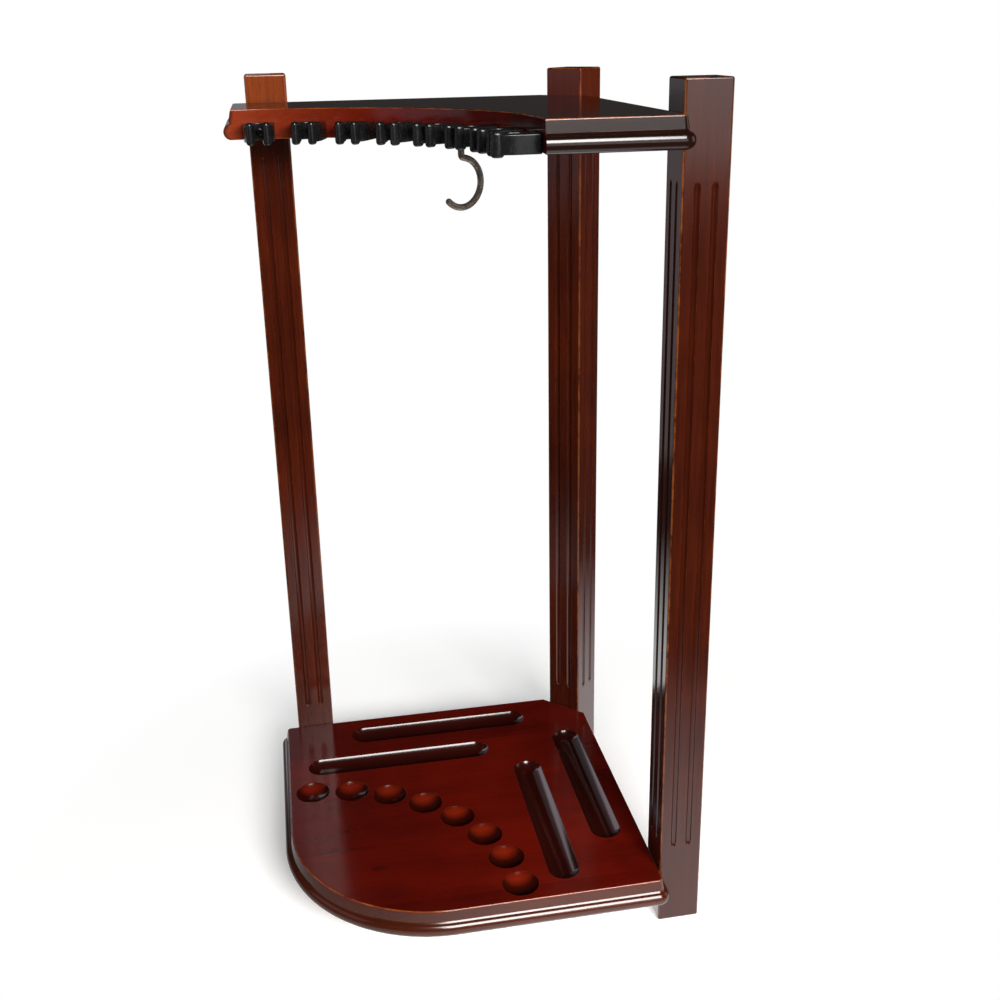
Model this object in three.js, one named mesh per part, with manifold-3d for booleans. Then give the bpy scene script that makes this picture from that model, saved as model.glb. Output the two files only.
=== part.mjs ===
// Corner cue rack for eight cues and sixteen balls, standing on three square posts.
// Millimetres, +Z up, the floor at Z 0. The room's corner is towards +X and +Y.

import * as THREE from 'three';
import { mergeVertices } from 'three/addons/utils/BufferGeometryUtils.js';
import Module from 'manifold-3d';

const wasm = await Module();
wasm.setup();

// Driving dimensions, overall.
const RACK_HEIGHT = 782;          // floor to the tops of the posts
const SHELF_REACH = 385;          // wall to the straight front edges of the shelves
const POST_WIDTH = 40;            // side of every square post
const SHELF_THICKNESS = 26;
const FOOT_CLEARANCE = 31.5;      // floor to the underside of the bottom shelf
const POST_RISE = 26;             // post tops above the top shelf
const FIT_GAP = 0.3;              // clearance between pieces that touch

// Posts.
const END_OVERHANG = 13;          // shelves past the outer side of the two end posts
const CORNER_STANDOFF = 85;       // room corner to the front of the corner post, on the diagonal
const POST_EDGE_ROUND = 2;
const FLUTE_WIDTH = 5.4;
const FLUTE_DEPTH = 2;
const FLUTE_OFFSET = 7.3;         // flute centre from the middle of a post face
const FLUTE_END_GAP = 26;         // flute end to the nearest shelf
const FLUTE_TAPER = 9;            // length of a flute's pointed end

// Moulded shelf edge, from its top down: round, flared fascia, quirk, bead.
const EDGE_ROUND = 1.5;
const FASCIA_HEIGHT = 10.6;
const FASCIA_FLARE = 1.9;
const QUIRK_DEPTH = 1;
const BEAD_RADIUS = 7;
const BEAD_REACH = 7;             // bead past the top edge of the shelf
const STUB_CORNER_ROUND = 4;      // small corners beside the end posts
const FRONT_CORNER_ROUND = 147;   // big corner of the bottom shelf

// Cue places: an arc around a centre on the diagonal.
const CUE_COUNT = 8;
const CUE_STEP = 12.3;            // degrees between cues
const ARC_CENTRE = 367.5;         // arc centre from each wall
const CUE_ARC_RADIUS = 194;       // arc centre to the cues
const FACE_ARC_RADIUS = 217;      // arc centre to the top shelf's hollow edge
const DIMPLE_WIDTH = 35;
const DIMPLE_DEPTH = 7.5;

// Ball troughs: two along each wall.
const TROUGH_WIDTH = 30;
const TROUGH_LENGTH = 200;
const TROUGH_DEPTH = 7;
const NEAR_TROUGH_OFFSET = 73.5;  // wall to the middle of the nearer trough
const FAR_TROUGH_OFFSET = 128.5;  // wall to the middle of the farther trough
const NEAR_TROUGH_START = 112;    // other wall to the near end of the nearer trough
const FAR_TROUGH_START = 163.5;   // other wall to the near end of the farther trough

// Cue clips.
const CLIP_DROP = 19;             // top of the shelf to the middle of the clips
const CLIP_BAND_HEIGHT = 15;
const CLIP_WIDTH = 27;
const CLIP_WEB = 5;               // rubber behind the cue
const CLIP_HOLD_RADIUS = 10;
const CLIP_HOLD_STRETCH = 4.5;    // the hollow is this much deeper than it is wide
const CLIP_LIP_WIDTH = 7.6;
const CLIP_LIP_DEPTH = 10.5;
const CLIP_LIP_HEIGHT = 19.4;
const CLIP_LIP_SPACING = 14.4;
const CLIP_REACH = 39.5;          // shelf edge to the front of the lips

// Hook under the top shelf.
const HOOK_WALL_OFFSET = 184;     // hook stem from each wall
const HOOK_TURN = 30;             // degrees from +X to the side that the hook bulges to
const HOOK_WIRE = 6;
const HOOK_STEM = 16;             // straight stem below the shelf
const HOOK_KNEE = 3;              // radius of the knee between stem and bow
const HOOK_BOW_RADIUS = 22;       // to the middle of the wire
const HOOK_BOW_END = -135;        // degrees, where the bow ends
const HOOK_THREAD_WIDTH = 5;
const HOOK_THREAD_LENGTH = 14;

// Hardware.
const BOLT_WIDTH = 6;
const BOLT_HEAD_WIDTH = 12;
const BOLT_HEAD_HEIGHT = 4;
const BOLT_HEX = 5;               // across the corners of the key socket
const BOLT_HEX_DEPTH = 2.4;
const BOLT_LENGTH = 50;           // under the head
const COUNTERBORE_WIDTH = 13.5;
const COUNTERBORE_DEPTH = 8;
const INSERT_WIDTH = 10;
const INSERT_LENGTH = 15;
const DOWEL_WIDTH = 8;
const DOWEL_LENGTH = 30;
const DOWEL_OFFSET = 12;          // dowels each side of the bolt
const SCREW_WIDTH = 3.5;
const SCREW_HEAD_WIDTH = 7;
const SCREW_HEAD_HEIGHT = 2.5;
const SCREW_LENGTH = 18;          // under the head

// Worked out from the driving dimensions.
const FOOTPRINT = SHELF_REACH + BEAD_REACH;
const BOTTOM_SHELF_TOP = FOOT_CLEARANCE + SHELF_THICKNESS;
const TOP_SHELF_TOP = RACK_HEIGHT - POST_RISE;
const TOP_SHELF_UNDERSIDE = TOP_SHELF_TOP - SHELF_THICKNESS;
const SHELF_MIDDLES = {
  bottom: BOTTOM_SHELF_TOP - SHELF_THICKNESS / 2,
  top: TOP_SHELF_TOP - SHELF_THICKNESS / 2,
};
const END_POST_OUTSIDE = SHELF_REACH - END_OVERHANG;
const END_POST_CENTRE = END_POST_OUTSIDE - POST_WIDTH / 2;
const CORNER_POST_CENTRE = (CORNER_STANDOFF - POST_WIDTH / 2) / Math.SQRT2;

const MATERIALS = {
  wood: new THREE.MeshStandardMaterial({ color: 0x5c2016, roughness: 0.3, metalness: 0 }),
  rubber: new THREE.MeshStandardMaterial({ color: 0x151618, roughness: 0.45, metalness: 0 }),
  antique: new THREE.MeshStandardMaterial({ color: 0x6d665c, roughness: 0.4, metalness: 1 }),
  steel: new THREE.MeshStandardMaterial({ color: 0xb4b4ae, roughness: 0.35, metalness: 1 }),
  dowel: new THREE.MeshStandardMaterial({ color: 0xd6b586, roughness: 0.8, metalness: 0 }),
};

const radians = THREE.MathUtils.degToRad;

// Meshes and solids.

// Merges shared vertices and drops the triangles that close up to nothing.
function closedGeometry(geometry) {
  const bare = geometry.clone();
  bare.deleteAttribute('normal');
  bare.deleteAttribute('uv');
  const merged = mergeVertices(bare, 1e-4);
  const kept = [];
  const index = merged.index.array;
  for (let i = 0; i < index.length; i += 3) {
    const [a, b, c] = [index[i], index[i + 1], index[i + 2]];
    if (a !== b && b !== c && c !== a) kept.push(a, b, c);
  }
  merged.setIndex(kept);
  return merged;
}

function solidFrom(geometry) {
  const closed = closedGeometry(geometry);
  const mesh = new wasm.Mesh({
    numProp: 3,
    vertProperties: new Float32Array(closed.attributes.position.array),
    triVerts: new Uint32Array(closed.index.array),
  });
  return new wasm.Manifold(mesh);
}

function geometryFrom(solid) {
  const mesh = solid.getMesh();
  const geometry = new THREE.BufferGeometry();
  geometry.setAttribute('position', new THREE.BufferAttribute(new Float32Array(mesh.vertProperties), 3));
  geometry.setIndex(new THREE.BufferAttribute(new Uint32Array(mesh.triVerts), 1));
  geometry.computeVertexNormals();
  return geometry;
}

function cutAway(solid, cutters) {
  return cutters.reduce((left, cutter) => left.subtract(solidFrom(cutter)), solid);
}

function meshFrom(name, solid, material) {
  const mesh = new THREE.Mesh(geometryFrom(solid), material);
  mesh.name = name;
  return mesh;
}

// A closed skin over rings of points that all have the same count, lowest ring first.
function skinRings(rings) {
  const corners = [];
  const count = rings[0].length;
  const push = (...points) => points.forEach((point) => corners.push(point.x, point.y, point.z));
  for (let level = 0; level + 1 < rings.length; level += 1) {
    const low = rings[level];
    const high = rings[level + 1];
    for (let i = 0; i < count; i += 1) {
      const next = (i + 1) % count;
      push(low[i], low[next], high[next]);
      push(low[i], high[next], high[i]);
    }
  }
  const capRing = (ring, upwards) => {
    const distinct = ring.filter((point, i) => point.distanceTo(ring[(i + 1) % count]) > 1e-4);
    const flat = distinct.map((point) => new THREE.Vector2(point.x, point.y));
    for (const [a, b, c] of THREE.ShapeUtils.triangulateShape(flat, [])) {
      if (upwards) push(distinct[a], distinct[b], distinct[c]);
      else push(distinct[a], distinct[c], distinct[b]);
    }
  };
  capRing(rings[0], false);
  capRing(rings[rings.length - 1], true);
  const geometry = new THREE.BufferGeometry();
  geometry.setAttribute('position', new THREE.Float32BufferAttribute(corners, 3));
  return geometry;
}

function arcPoints(centreX, centreY, radius, fromDegrees, toDegrees, steps) {
  const points = [];
  for (let i = 0; i <= steps; i += 1) {
    const angle = radians(fromDegrees + ((toDegrees - fromDegrees) * i) / steps);
    points.push(new THREE.Vector2(centreX + radius * Math.cos(angle), centreY + radius * Math.sin(angle)));
  }
  return points;
}

// A round bar along +Y from y = from to y = to.
function barAlongY(diameter, from, to, sides = 10) {
  const bar = new THREE.CylinderGeometry(diameter / 2, diameter / 2, to - from, sides);
  return bar.translate(0, (from + to) / 2, 0);
}

// Posts. Each is built about its own axis, with its wall side towards +Y.

// A square with rounded corners, drawn in by `inset` on every side.
function postRing(inset, z) {
  const round = POST_EDGE_ROUND - inset;
  const middle = POST_WIDTH / 2 - POST_EDGE_ROUND;
  const corners = [[1, 1, 0], [-1, 1, 90], [-1, -1, 180], [1, -1, 270]];
  const outline = corners.flatMap(([x, y, from]) => (
    arcPoints(x * middle, y * middle, round, from, from + 90, 2)
  ));
  return outline.map((point) => new THREE.Vector3(point.x, point.y, z));
}

function postBlank() {
  const levels = arcPoints(POST_EDGE_ROUND, POST_EDGE_ROUND, POST_EDGE_ROUND, 270, 180, 2);
  const lower = levels.map((level) => postRing(level.x, level.y));
  const upper = levels.map((level) => postRing(level.x, RACK_HEIGHT - level.y)).reverse();
  return skinRings([...lower, ...upper]);
}

// A long rod with pointed ends, sunk into the face at y = -POST_WIDTH / 2.
function fluteCutter(offset) {
  const from = BOTTOM_SHELF_TOP + FLUTE_END_GAP;
  const to = TOP_SHELF_UNDERSIDE - FLUTE_END_GAP;
  const radius = (FLUTE_WIDTH ** 2 / 4 + FLUTE_DEPTH ** 2) / (2 * FLUTE_DEPTH);
  const profile = [
    new THREE.Vector2(0, from),
    new THREE.Vector2(radius * 0.7, from + FLUTE_TAPER / 2),
    new THREE.Vector2(radius, from + FLUTE_TAPER),
    new THREE.Vector2(radius, to - FLUTE_TAPER),
    new THREE.Vector2(radius * 0.7, to - FLUTE_TAPER / 2),
    new THREE.Vector2(0, to),
  ];
  const rod = new THREE.LatheGeometry(profile, 8);
  rod.rotateX(Math.PI / 2);
  return rod.translate(offset, -(POST_WIDTH / 2 + radius - FLUTE_DEPTH), 0);
}

// The two dowel bores of a joint, one each side of its bolt.
function dowelBores(from, to) {
  return [-1, 1].map((side) => (
    barAlongY(DOWEL_WIDTH + 2 * FIT_GAP, from, to).translate(side * DOWEL_OFFSET, 0, 0)
  ));
}

// Bores for one shelf joint, in the post's own frame. The shelf is towards -Y.
function jointBoresInPost(height) {
  const front = -POST_WIDTH / 2;
  const back = POST_WIDTH / 2;
  const bores = [
    barAlongY(BOLT_WIDTH + 2 * FIT_GAP, front - 1, back + 1),
    barAlongY(COUNTERBORE_WIDTH, back - COUNTERBORE_DEPTH, back + 1, 14),
  ];
  bores.push(...dowelBores(front - 1, front + DOWEL_LENGTH / 2 + 1));
  return bores.map((bore) => bore.translate(0, 0, height));
}

// Bores for the same joint in the shelf, still in the post's frame.
function jointBoresInShelf(height) {
  const contact = -POST_WIDTH / 2;
  const boltEnd = POST_WIDTH / 2 - COUNTERBORE_DEPTH + FIT_GAP - BOLT_LENGTH;
  const insertEnd = contact - FIT_GAP - INSERT_LENGTH;
  const bores = [barAlongY(INSERT_WIDTH + 2 * FIT_GAP, Math.min(boltEnd, insertEnd) - 1, contact + 1)];
  bores.push(...dowelBores(contact - DOWEL_LENGTH / 2 - 1, contact + 1));
  return bores.map((bore) => bore.translate(0, 0, height));
}

function postSolid() {
  const flutes = [];
  for (const turn of [0, 90, -90]) {
    for (const side of [-1, 1]) {
      flutes.push(fluteCutter(side * FLUTE_OFFSET).rotateZ(radians(turn)));
    }
  }
  const bores = Object.values(SHELF_MIDDLES).flatMap(jointBoresInPost);
  return cutAway(solidFrom(postBlank()), [...flutes, ...bores]);
}

function boltSolid() {
  const seat = POST_WIDTH / 2 - COUNTERBORE_DEPTH + FIT_GAP;
  const shank = solidFrom(barAlongY(BOLT_WIDTH, seat - BOLT_LENGTH, seat + 1));
  const head = solidFrom(barAlongY(BOLT_HEAD_WIDTH, seat, seat + BOLT_HEAD_HEIGHT, 14));
  const top = seat + BOLT_HEAD_HEIGHT;
  return cutAway(shank.add(head), [barAlongY(BOLT_HEX, top - BOLT_HEX_DEPTH, top + 1, 6)]);
}

function insertSolid() {
  const mouth = -POST_WIDTH / 2 - FIT_GAP;
  const sleeve = solidFrom(barAlongY(INSERT_WIDTH, mouth - INSERT_LENGTH, mouth));
  return cutAway(sleeve, [barAlongY(BOLT_WIDTH + 2 * FIT_GAP, mouth - INSERT_LENGTH - 1, mouth + 1)]);
}

function dowelSolid() {
  const middle = -POST_WIDTH / 2;
  return solidFrom(barAlongY(DOWEL_WIDTH, middle - DOWEL_LENGTH / 2, middle + DOWEL_LENGTH / 2));
}

// Each post with the hardware of its two shelf joints.
function postGroup(name, x, y, turn) {
  const group = new THREE.Group();
  group.position.set(x, y, 0);
  group.rotation.z = radians(turn);
  group.add(meshFrom(`${name}_post`, postSolid(), MATERIALS.wood));
  for (const [shelf, height] of Object.entries(SHELF_MIDDLES)) {
    const pieces = [
      meshFrom(`bolt_${name}_${shelf}`, boltSolid(), MATERIALS.steel),
      meshFrom(`insert_${name}_${shelf}`, insertSolid(), MATERIALS.steel),
      meshFrom(`dowel_a_${name}_${shelf}`, dowelSolid(), MATERIALS.dowel),
      meshFrom(`dowel_b_${name}_${shelf}`, dowelSolid(), MATERIALS.dowel),
    ];
    pieces.forEach((piece) => piece.position.setZ(height));
    pieces[2].position.setX(-DOWEL_OFFSET);
    pieces[3].position.setX(DOWEL_OFFSET);
    group.add(...pieces);
  }
  group.updateMatrixWorld(true);
  return group;
}

// Shelves. Their outline grows outwards by `out` along the moulded edges only.

function edgeProfile() {
  const levels = arcPoints(-EDGE_ROUND, -EDGE_ROUND, EDGE_ROUND, 90, 0, 2);
  levels.push(new THREE.Vector2(FASCIA_FLARE, -FASCIA_HEIGHT));
  const quirk = FASCIA_FLARE - QUIRK_DEPTH;
  levels.push(new THREE.Vector2(quirk, -FASCIA_HEIGHT - QUIRK_DEPTH / 4));
  const centreOut = BEAD_REACH - BEAD_RADIUS;
  const centreDown = BEAD_RADIUS - SHELF_THICKNESS;
  const start = THREE.MathUtils.radToDeg(Math.acos((quirk - centreOut) / BEAD_RADIUS));
  levels.push(...arcPoints(centreOut, centreDown, BEAD_RADIUS, start, 0, 3).slice(0, -1));
  levels.push(...arcPoints(centreOut, centreDown, BEAD_RADIUS, 0, -90, 3));
  return levels.reverse();
}

// The wall sides of every shelf, and the small moulded stubs beside the end posts.
function wallSide() {
  const edge = -(POST_WIDTH + FIT_GAP);
  const chamfer = -(CORNER_STANDOFF + FIT_GAP) * Math.SQRT2;
  return [new THREE.Vector2(edge, chamfer - edge), new THREE.Vector2(chamfer - edge, edge)];
}

function leftStub(out) {
  const edge = -(POST_WIDTH + FIT_GAP);
  const side = -(END_POST_OUTSIDE + FIT_GAP);
  const centreX = -SHELF_REACH + STUB_CORNER_ROUND;
  const corner = arcPoints(centreX, edge - STUB_CORNER_ROUND, STUB_CORNER_ROUND + out, 90, 180, 3);
  return [new THREE.Vector2(side, edge), new THREE.Vector2(side, edge + out), ...corner];
}

function mirrored(points) {
  return points.map((point) => new THREE.Vector2(point.y, point.x)).reverse();
}

function roundedFront(out) {
  const centre = -SHELF_REACH + FRONT_CORNER_ROUND;
  return arcPoints(centre, centre, FRONT_CORNER_ROUND + out, 180, 270, 18);
}

function hollowFront(out) {
  const overrun = SHELF_REACH + out - ARC_CENTRE;
  const end = THREE.MathUtils.radToDeg(Math.asin(overrun / FACE_ARC_RADIUS));
  return arcPoints(-ARC_CENTRE, -ARC_CENTRE, FACE_ARC_RADIUS, 90 + end, -end, 28);
}

function shelfBlank(top, frontOutline) {
  const rings = edgeProfile().map((level) => {
    const out = level.x;
    const stub = leftStub(out);
    const outline = [...wallSide(), ...stub, ...frontOutline(out), ...mirrored(stub)];
    return outline.map((point) => new THREE.Vector3(point.x, point.y, top + level.y));
  });
  return skinRings(rings);
}

function jointCutters(posts, shelf) {
  return posts.flatMap((post) => (
    jointBoresInShelf(SHELF_MIDDLES[shelf]).map((bore) => bore.applyMatrix4(post.matrixWorld))
  ));
}

function bowlCutter(x, y) {
  const radius = (DIMPLE_WIDTH ** 2 / 4 + DIMPLE_DEPTH ** 2) / (2 * DIMPLE_DEPTH);
  const ball = new THREE.SphereGeometry(radius, 14, 14).rotateX(Math.PI / 2);
  return ball.translate(x, y, BOTTOM_SHELF_TOP + radius - DIMPLE_DEPTH);
}

// Two equal troughs mirrored about the diagonal, one along each wall.
function troughCutters(start, offset) {
  const radius = (TROUGH_WIDTH ** 2 / 4 + TROUGH_DEPTH ** 2) / (2 * TROUGH_DEPTH);
  const straight = TROUGH_LENGTH - TROUGH_WIDTH;
  const middle = -(start + TROUGH_LENGTH / 2);
  const level = BOTTOM_SHELF_TOP + radius - TROUGH_DEPTH;
  const alongY = new THREE.CapsuleGeometry(radius, straight, 4, 16);
  const alongX = alongY.clone().rotateZ(Math.PI / 2);
  return [alongX.translate(middle, -offset, level), alongY.translate(-offset, middle, level)];
}

function cueAngles() {
  const first = 45 - (CUE_STEP * (CUE_COUNT - 1)) / 2;
  return Array.from({ length: CUE_COUNT }, (_, i) => first + CUE_STEP * (CUE_COUNT - 1 - i));
}

function bottomShelf(posts) {
  const dimples = cueAngles().map((angle) => bowlCutter(
    -ARC_CENTRE + CUE_ARC_RADIUS * Math.cos(radians(angle)),
    -ARC_CENTRE + CUE_ARC_RADIUS * Math.sin(radians(angle)),
  ));
  const blank = solidFrom(shelfBlank(BOTTOM_SHELF_TOP, roundedFront));
  const troughs = [
    ...troughCutters(NEAR_TROUGH_START, NEAR_TROUGH_OFFSET),
    ...troughCutters(FAR_TROUGH_START, FAR_TROUGH_OFFSET),
  ];
  const cutters = [...dimples, ...troughs, ...jointCutters(posts, 'bottom')];
  return meshFrom('bottom_shelf', cutAway(blank, cutters), MATERIALS.wood);
}

// Clips. Each is built with its back on the shelf's hollow edge, opening towards +Y.

const CLIP_BACK = FACE_ARC_RADIUS - Math.sqrt(FACE_ARC_RADIUS ** 2 - CLIP_WIDTH ** 2 / 4) + FIT_GAP;
const CLIP_HOLD_START = CLIP_BACK + CLIP_WEB;
const CLIP_HOLD_END = CLIP_HOLD_START + 2 * CLIP_HOLD_RADIUS + CLIP_HOLD_STRETCH;
const CLIP_LIP_CENTRE = CLIP_REACH - CLIP_LIP_DEPTH / 2;
const CLIP_LEVEL = TOP_SHELF_TOP - CLIP_DROP;

function clipFrame(angle) {
  const group = new THREE.Group();
  const x = -ARC_CENTRE + FACE_ARC_RADIUS * Math.cos(radians(angle));
  const y = -ARC_CENTRE + FACE_ARC_RADIUS * Math.sin(radians(angle));
  group.position.set(x, y, CLIP_LEVEL);
  group.rotation.z = radians(angle + 90);
  group.updateMatrixWorld(true);
  return group;
}

function clipBand() {
  const half = CLIP_WIDTH / 2;
  const shoulder = CLIP_HOLD_END - CLIP_HOLD_RADIUS;
  const lip = CLIP_LIP_SPACING / 2 + CLIP_LIP_WIDTH / 2;
  const band = new THREE.Shape();
  band.moveTo(-half, CLIP_BACK);
  band.lineTo(half, CLIP_BACK);
  band.lineTo(half, shoulder);
  band.quadraticCurveTo(half, CLIP_HOLD_END - 2, lip - 1, CLIP_LIP_CENTRE);
  band.lineTo(-lip + 1, CLIP_LIP_CENTRE);
  band.quadraticCurveTo(-half, CLIP_HOLD_END - 2, -half, shoulder);
  band.closePath();
  return new THREE.ExtrudeGeometry(band, {
    depth: CLIP_BAND_HEIGHT,
    bevelEnabled: false,
    curveSegments: 4,
  }).translate(0, 0, -CLIP_BAND_HEIGHT / 2);
}

// The hollow that holds the cue, with its mouth between the lips.
function clipHollow() {
  const near = CLIP_HOLD_START + CLIP_HOLD_RADIUS;
  const far = CLIP_HOLD_END - CLIP_HOLD_RADIUS;
  const mouth = (CLIP_LIP_SPACING - CLIP_LIP_WIDTH) / 2;
  const mouthAngle = THREE.MathUtils.radToDeg(Math.acos(mouth / CLIP_HOLD_RADIUS));
  const points = [
    ...arcPoints(0, near, CLIP_HOLD_RADIUS, 180, 360, 8),
    ...arcPoints(0, far, CLIP_HOLD_RADIUS, 0, mouthAngle, 3),
    new THREE.Vector2(mouth, CLIP_REACH + 1),
    new THREE.Vector2(-mouth, CLIP_REACH + 1),
    ...arcPoints(0, far, CLIP_HOLD_RADIUS, 180 - mouthAngle, 180, 3),
  ];
  const height = CLIP_LIP_HEIGHT + 2;
  return new THREE.ExtrudeGeometry(new THREE.Shape(points), { depth: height, bevelEnabled: false })
    .translate(0, 0, -height / 2);
}

function clipLip(side) {
  const roll = new THREE.CylinderGeometry(1, 1, CLIP_LIP_HEIGHT, 10).rotateX(Math.PI / 2);
  roll.scale(CLIP_LIP_WIDTH / 2, CLIP_LIP_DEPTH / 2, 1);
  return roll.translate((side * CLIP_LIP_SPACING) / 2, CLIP_LIP_CENTRE, 0);
}

function clipSolid() {
  const hole = barAlongY(SCREW_WIDTH + 2 * FIT_GAP, CLIP_BACK - 1, CLIP_HOLD_START + 1);
  const seat = barAlongY(SCREW_HEAD_WIDTH + 2 * FIT_GAP, CLIP_HOLD_START, CLIP_HOLD_START + 3);
  const band = cutAway(solidFrom(clipBand()), [clipHollow(), hole, seat]);
  return band.add(solidFrom(clipLip(-1))).add(solidFrom(clipLip(1)));
}

function screwSolid() {
  const seat = CLIP_HOLD_START + FIT_GAP;
  const top = seat + SCREW_HEAD_HEIGHT;
  const shank = solidFrom(barAlongY(SCREW_WIDTH, seat - SCREW_LENGTH, seat + 1, 8));
  return shank.add(solidFrom(barAlongY(SCREW_HEAD_WIDTH, seat, top, 12)));
}

function clipGroups() {
  return cueAngles().map((angle, i) => {
    const group = clipFrame(angle);
    group.add(meshFrom(`cue_clip_${i + 1}`, clipSolid(), MATERIALS.rubber));
    group.add(meshFrom(`clip_screw_${i + 1}`, screwSolid(), MATERIALS.steel));
    return group;
  });
}

function screwCutters() {
  const end = CLIP_HOLD_START + FIT_GAP - SCREW_LENGTH - 1;
  return cueAngles().map((angle) => (
    barAlongY(SCREW_WIDTH + 2 * FIT_GAP, end, 2, 8).applyMatrix4(clipFrame(angle).matrixWorld)
  ));
}

// Hook, built about its stem with the shelf's underside at z = 0.

class HookPath extends THREE.Curve {
  constructor() {
    super();
    this.kneeZ = -HOOK_STEM;
    this.bowZ = this.kneeZ - HOOK_KNEE - HOOK_BOW_RADIUS;
    this.bowStart = 90 - THREE.MathUtils.radToDeg(Math.asin(HOOK_KNEE / HOOK_BOW_RADIUS));
    this.stemPart = HOOK_STEM;
    this.kneePart = (HOOK_KNEE * Math.PI) / 2;
    this.bowPart = HOOK_BOW_RADIUS * radians(this.bowStart - HOOK_BOW_END);
  }

  getPoint(t, target = new THREE.Vector3()) {
    const along = t * (this.stemPart + this.kneePart + this.bowPart);
    if (along < this.stemPart) return target.set(0, 0, -along);
    if (along < this.stemPart + this.kneePart) {
      const turn = (along - this.stemPart) / HOOK_KNEE;
      const x = HOOK_KNEE * (1 - Math.cos(turn));
      return target.set(x, 0, this.kneeZ - HOOK_KNEE * Math.sin(turn));
    }
    const turned = (along - this.stemPart - this.kneePart) / HOOK_BOW_RADIUS;
    const angle = radians(this.bowStart) - turned;
    const x = HOOK_BOW_RADIUS * Math.cos(angle);
    return target.set(x, 0, this.bowZ + HOOK_BOW_RADIUS * Math.sin(angle));
  }
}

function hookMesh() {
  const radius = HOOK_WIRE / 2;
  const section = new THREE.Shape(arcPoints(0, 0, radius, 0, 315, 7));
  const bend = { steps: 30, extrudePath: new HookPath(), bevelEnabled: false };
  const wire = new THREE.ExtrudeGeometry(section, bend).translate(0, 0, -FIT_GAP);
  const tipAt = new HookPath().getPoint(1);
  const tip = new THREE.SphereGeometry(radius, 8, 6).translate(tipAt.x, 0, tipAt.z - FIT_GAP);
  const length = HOOK_THREAD_LENGTH + 1;
  const thread = new THREE.CylinderGeometry(HOOK_THREAD_WIDTH / 2, HOOK_THREAD_WIDTH / 2, length, 10);
  thread.rotateX(Math.PI / 2).translate(0, 0, HOOK_THREAD_LENGTH - length / 2);
  const solid = solidFrom(wire).add(solidFrom(tip)).add(solidFrom(thread));
  const mesh = meshFrom('hook', solid, MATERIALS.antique);
  mesh.position.set(-HOOK_WALL_OFFSET, -HOOK_WALL_OFFSET, TOP_SHELF_UNDERSIDE);
  mesh.rotation.z = radians(HOOK_TURN);
  return mesh;
}

function hookBore() {
  const length = HOOK_THREAD_LENGTH + 2;
  const radius = HOOK_THREAD_WIDTH / 2 + FIT_GAP;
  const bore = new THREE.CylinderGeometry(radius, radius, length, 10).rotateX(Math.PI / 2);
  const middle = TOP_SHELF_UNDERSIDE + HOOK_THREAD_LENGTH + 1 - length / 2;
  return bore.translate(-HOOK_WALL_OFFSET, -HOOK_WALL_OFFSET, middle);
}

function topShelf(posts) {
  const blank = solidFrom(shelfBlank(TOP_SHELF_TOP, hollowFront));
  const cutters = [...screwCutters(), hookBore(), ...jointCutters(posts, 'top')];
  return meshFrom('top_shelf', cutAway(blank, cutters), MATERIALS.wood);
}

// The whole rack, drawn from the room's corner and then centred on its footprint.

const posts = [
  postGroup('left', -END_POST_CENTRE, -POST_WIDTH / 2, 0),
  postGroup('right', -POST_WIDTH / 2, -END_POST_CENTRE, -90),
  postGroup('corner', -CORNER_POST_CENTRE, -CORNER_POST_CENTRE, -45),
];

const rack = new THREE.Group();
rack.add(...posts, bottomShelf(posts), topShelf(posts), ...clipGroups(), hookMesh());
rack.position.set(FOOTPRINT / 2, FOOTPRINT / 2, 0);

const model = new THREE.Group();
model.add(rack);

export default model;
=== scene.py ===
"""Corner cue rack: lacquered wood, rubber cue clips and a metal hook, built round the frame.

Metres, +Z up, the floor at Z 0. The room's corner is towards +X and +Y.
"""

import math

import bmesh
import bpy
from bpy.props import FloatProperty, FloatVectorProperty, IntProperty, PointerProperty
from bpy.types import Operator, Panel, PropertyGroup
from mathutils import Matrix, Vector


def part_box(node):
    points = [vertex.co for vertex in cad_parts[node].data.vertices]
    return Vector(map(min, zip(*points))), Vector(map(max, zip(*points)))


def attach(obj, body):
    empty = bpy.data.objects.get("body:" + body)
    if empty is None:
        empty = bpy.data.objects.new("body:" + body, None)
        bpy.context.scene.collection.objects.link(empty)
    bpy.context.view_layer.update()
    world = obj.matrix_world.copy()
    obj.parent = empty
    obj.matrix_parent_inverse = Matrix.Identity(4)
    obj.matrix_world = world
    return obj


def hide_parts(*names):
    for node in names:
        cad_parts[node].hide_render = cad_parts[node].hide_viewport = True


bl_info = {
    "name": "Corner cue rack",
    "version": (1, 0, 0),
    "blender": (4, 5, 0),
    "location": "View3D > Sidebar > Cue rack",
    "description": "Builds a corner rack for eight cues, with its materials, floor and light",
    "category": "Object",
}

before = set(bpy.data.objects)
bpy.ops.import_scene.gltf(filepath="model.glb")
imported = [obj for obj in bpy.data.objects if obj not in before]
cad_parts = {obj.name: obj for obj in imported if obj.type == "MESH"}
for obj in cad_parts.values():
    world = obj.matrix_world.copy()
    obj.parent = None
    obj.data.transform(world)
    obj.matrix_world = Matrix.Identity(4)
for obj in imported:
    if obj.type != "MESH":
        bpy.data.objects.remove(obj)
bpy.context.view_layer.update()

MM = 0.001
POST_NAMES = ("left", "right", "corner")
POST_TURNS = {"left": 0.0, "right": -90.0, "corner": -45.0}
LEFT_POST_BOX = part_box("left_post")
RIGHT_POST_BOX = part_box("right_post")
BOTTOM_SHELF_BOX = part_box("bottom_shelf")
TOP_SHELF_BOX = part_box("top_shelf")

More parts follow.
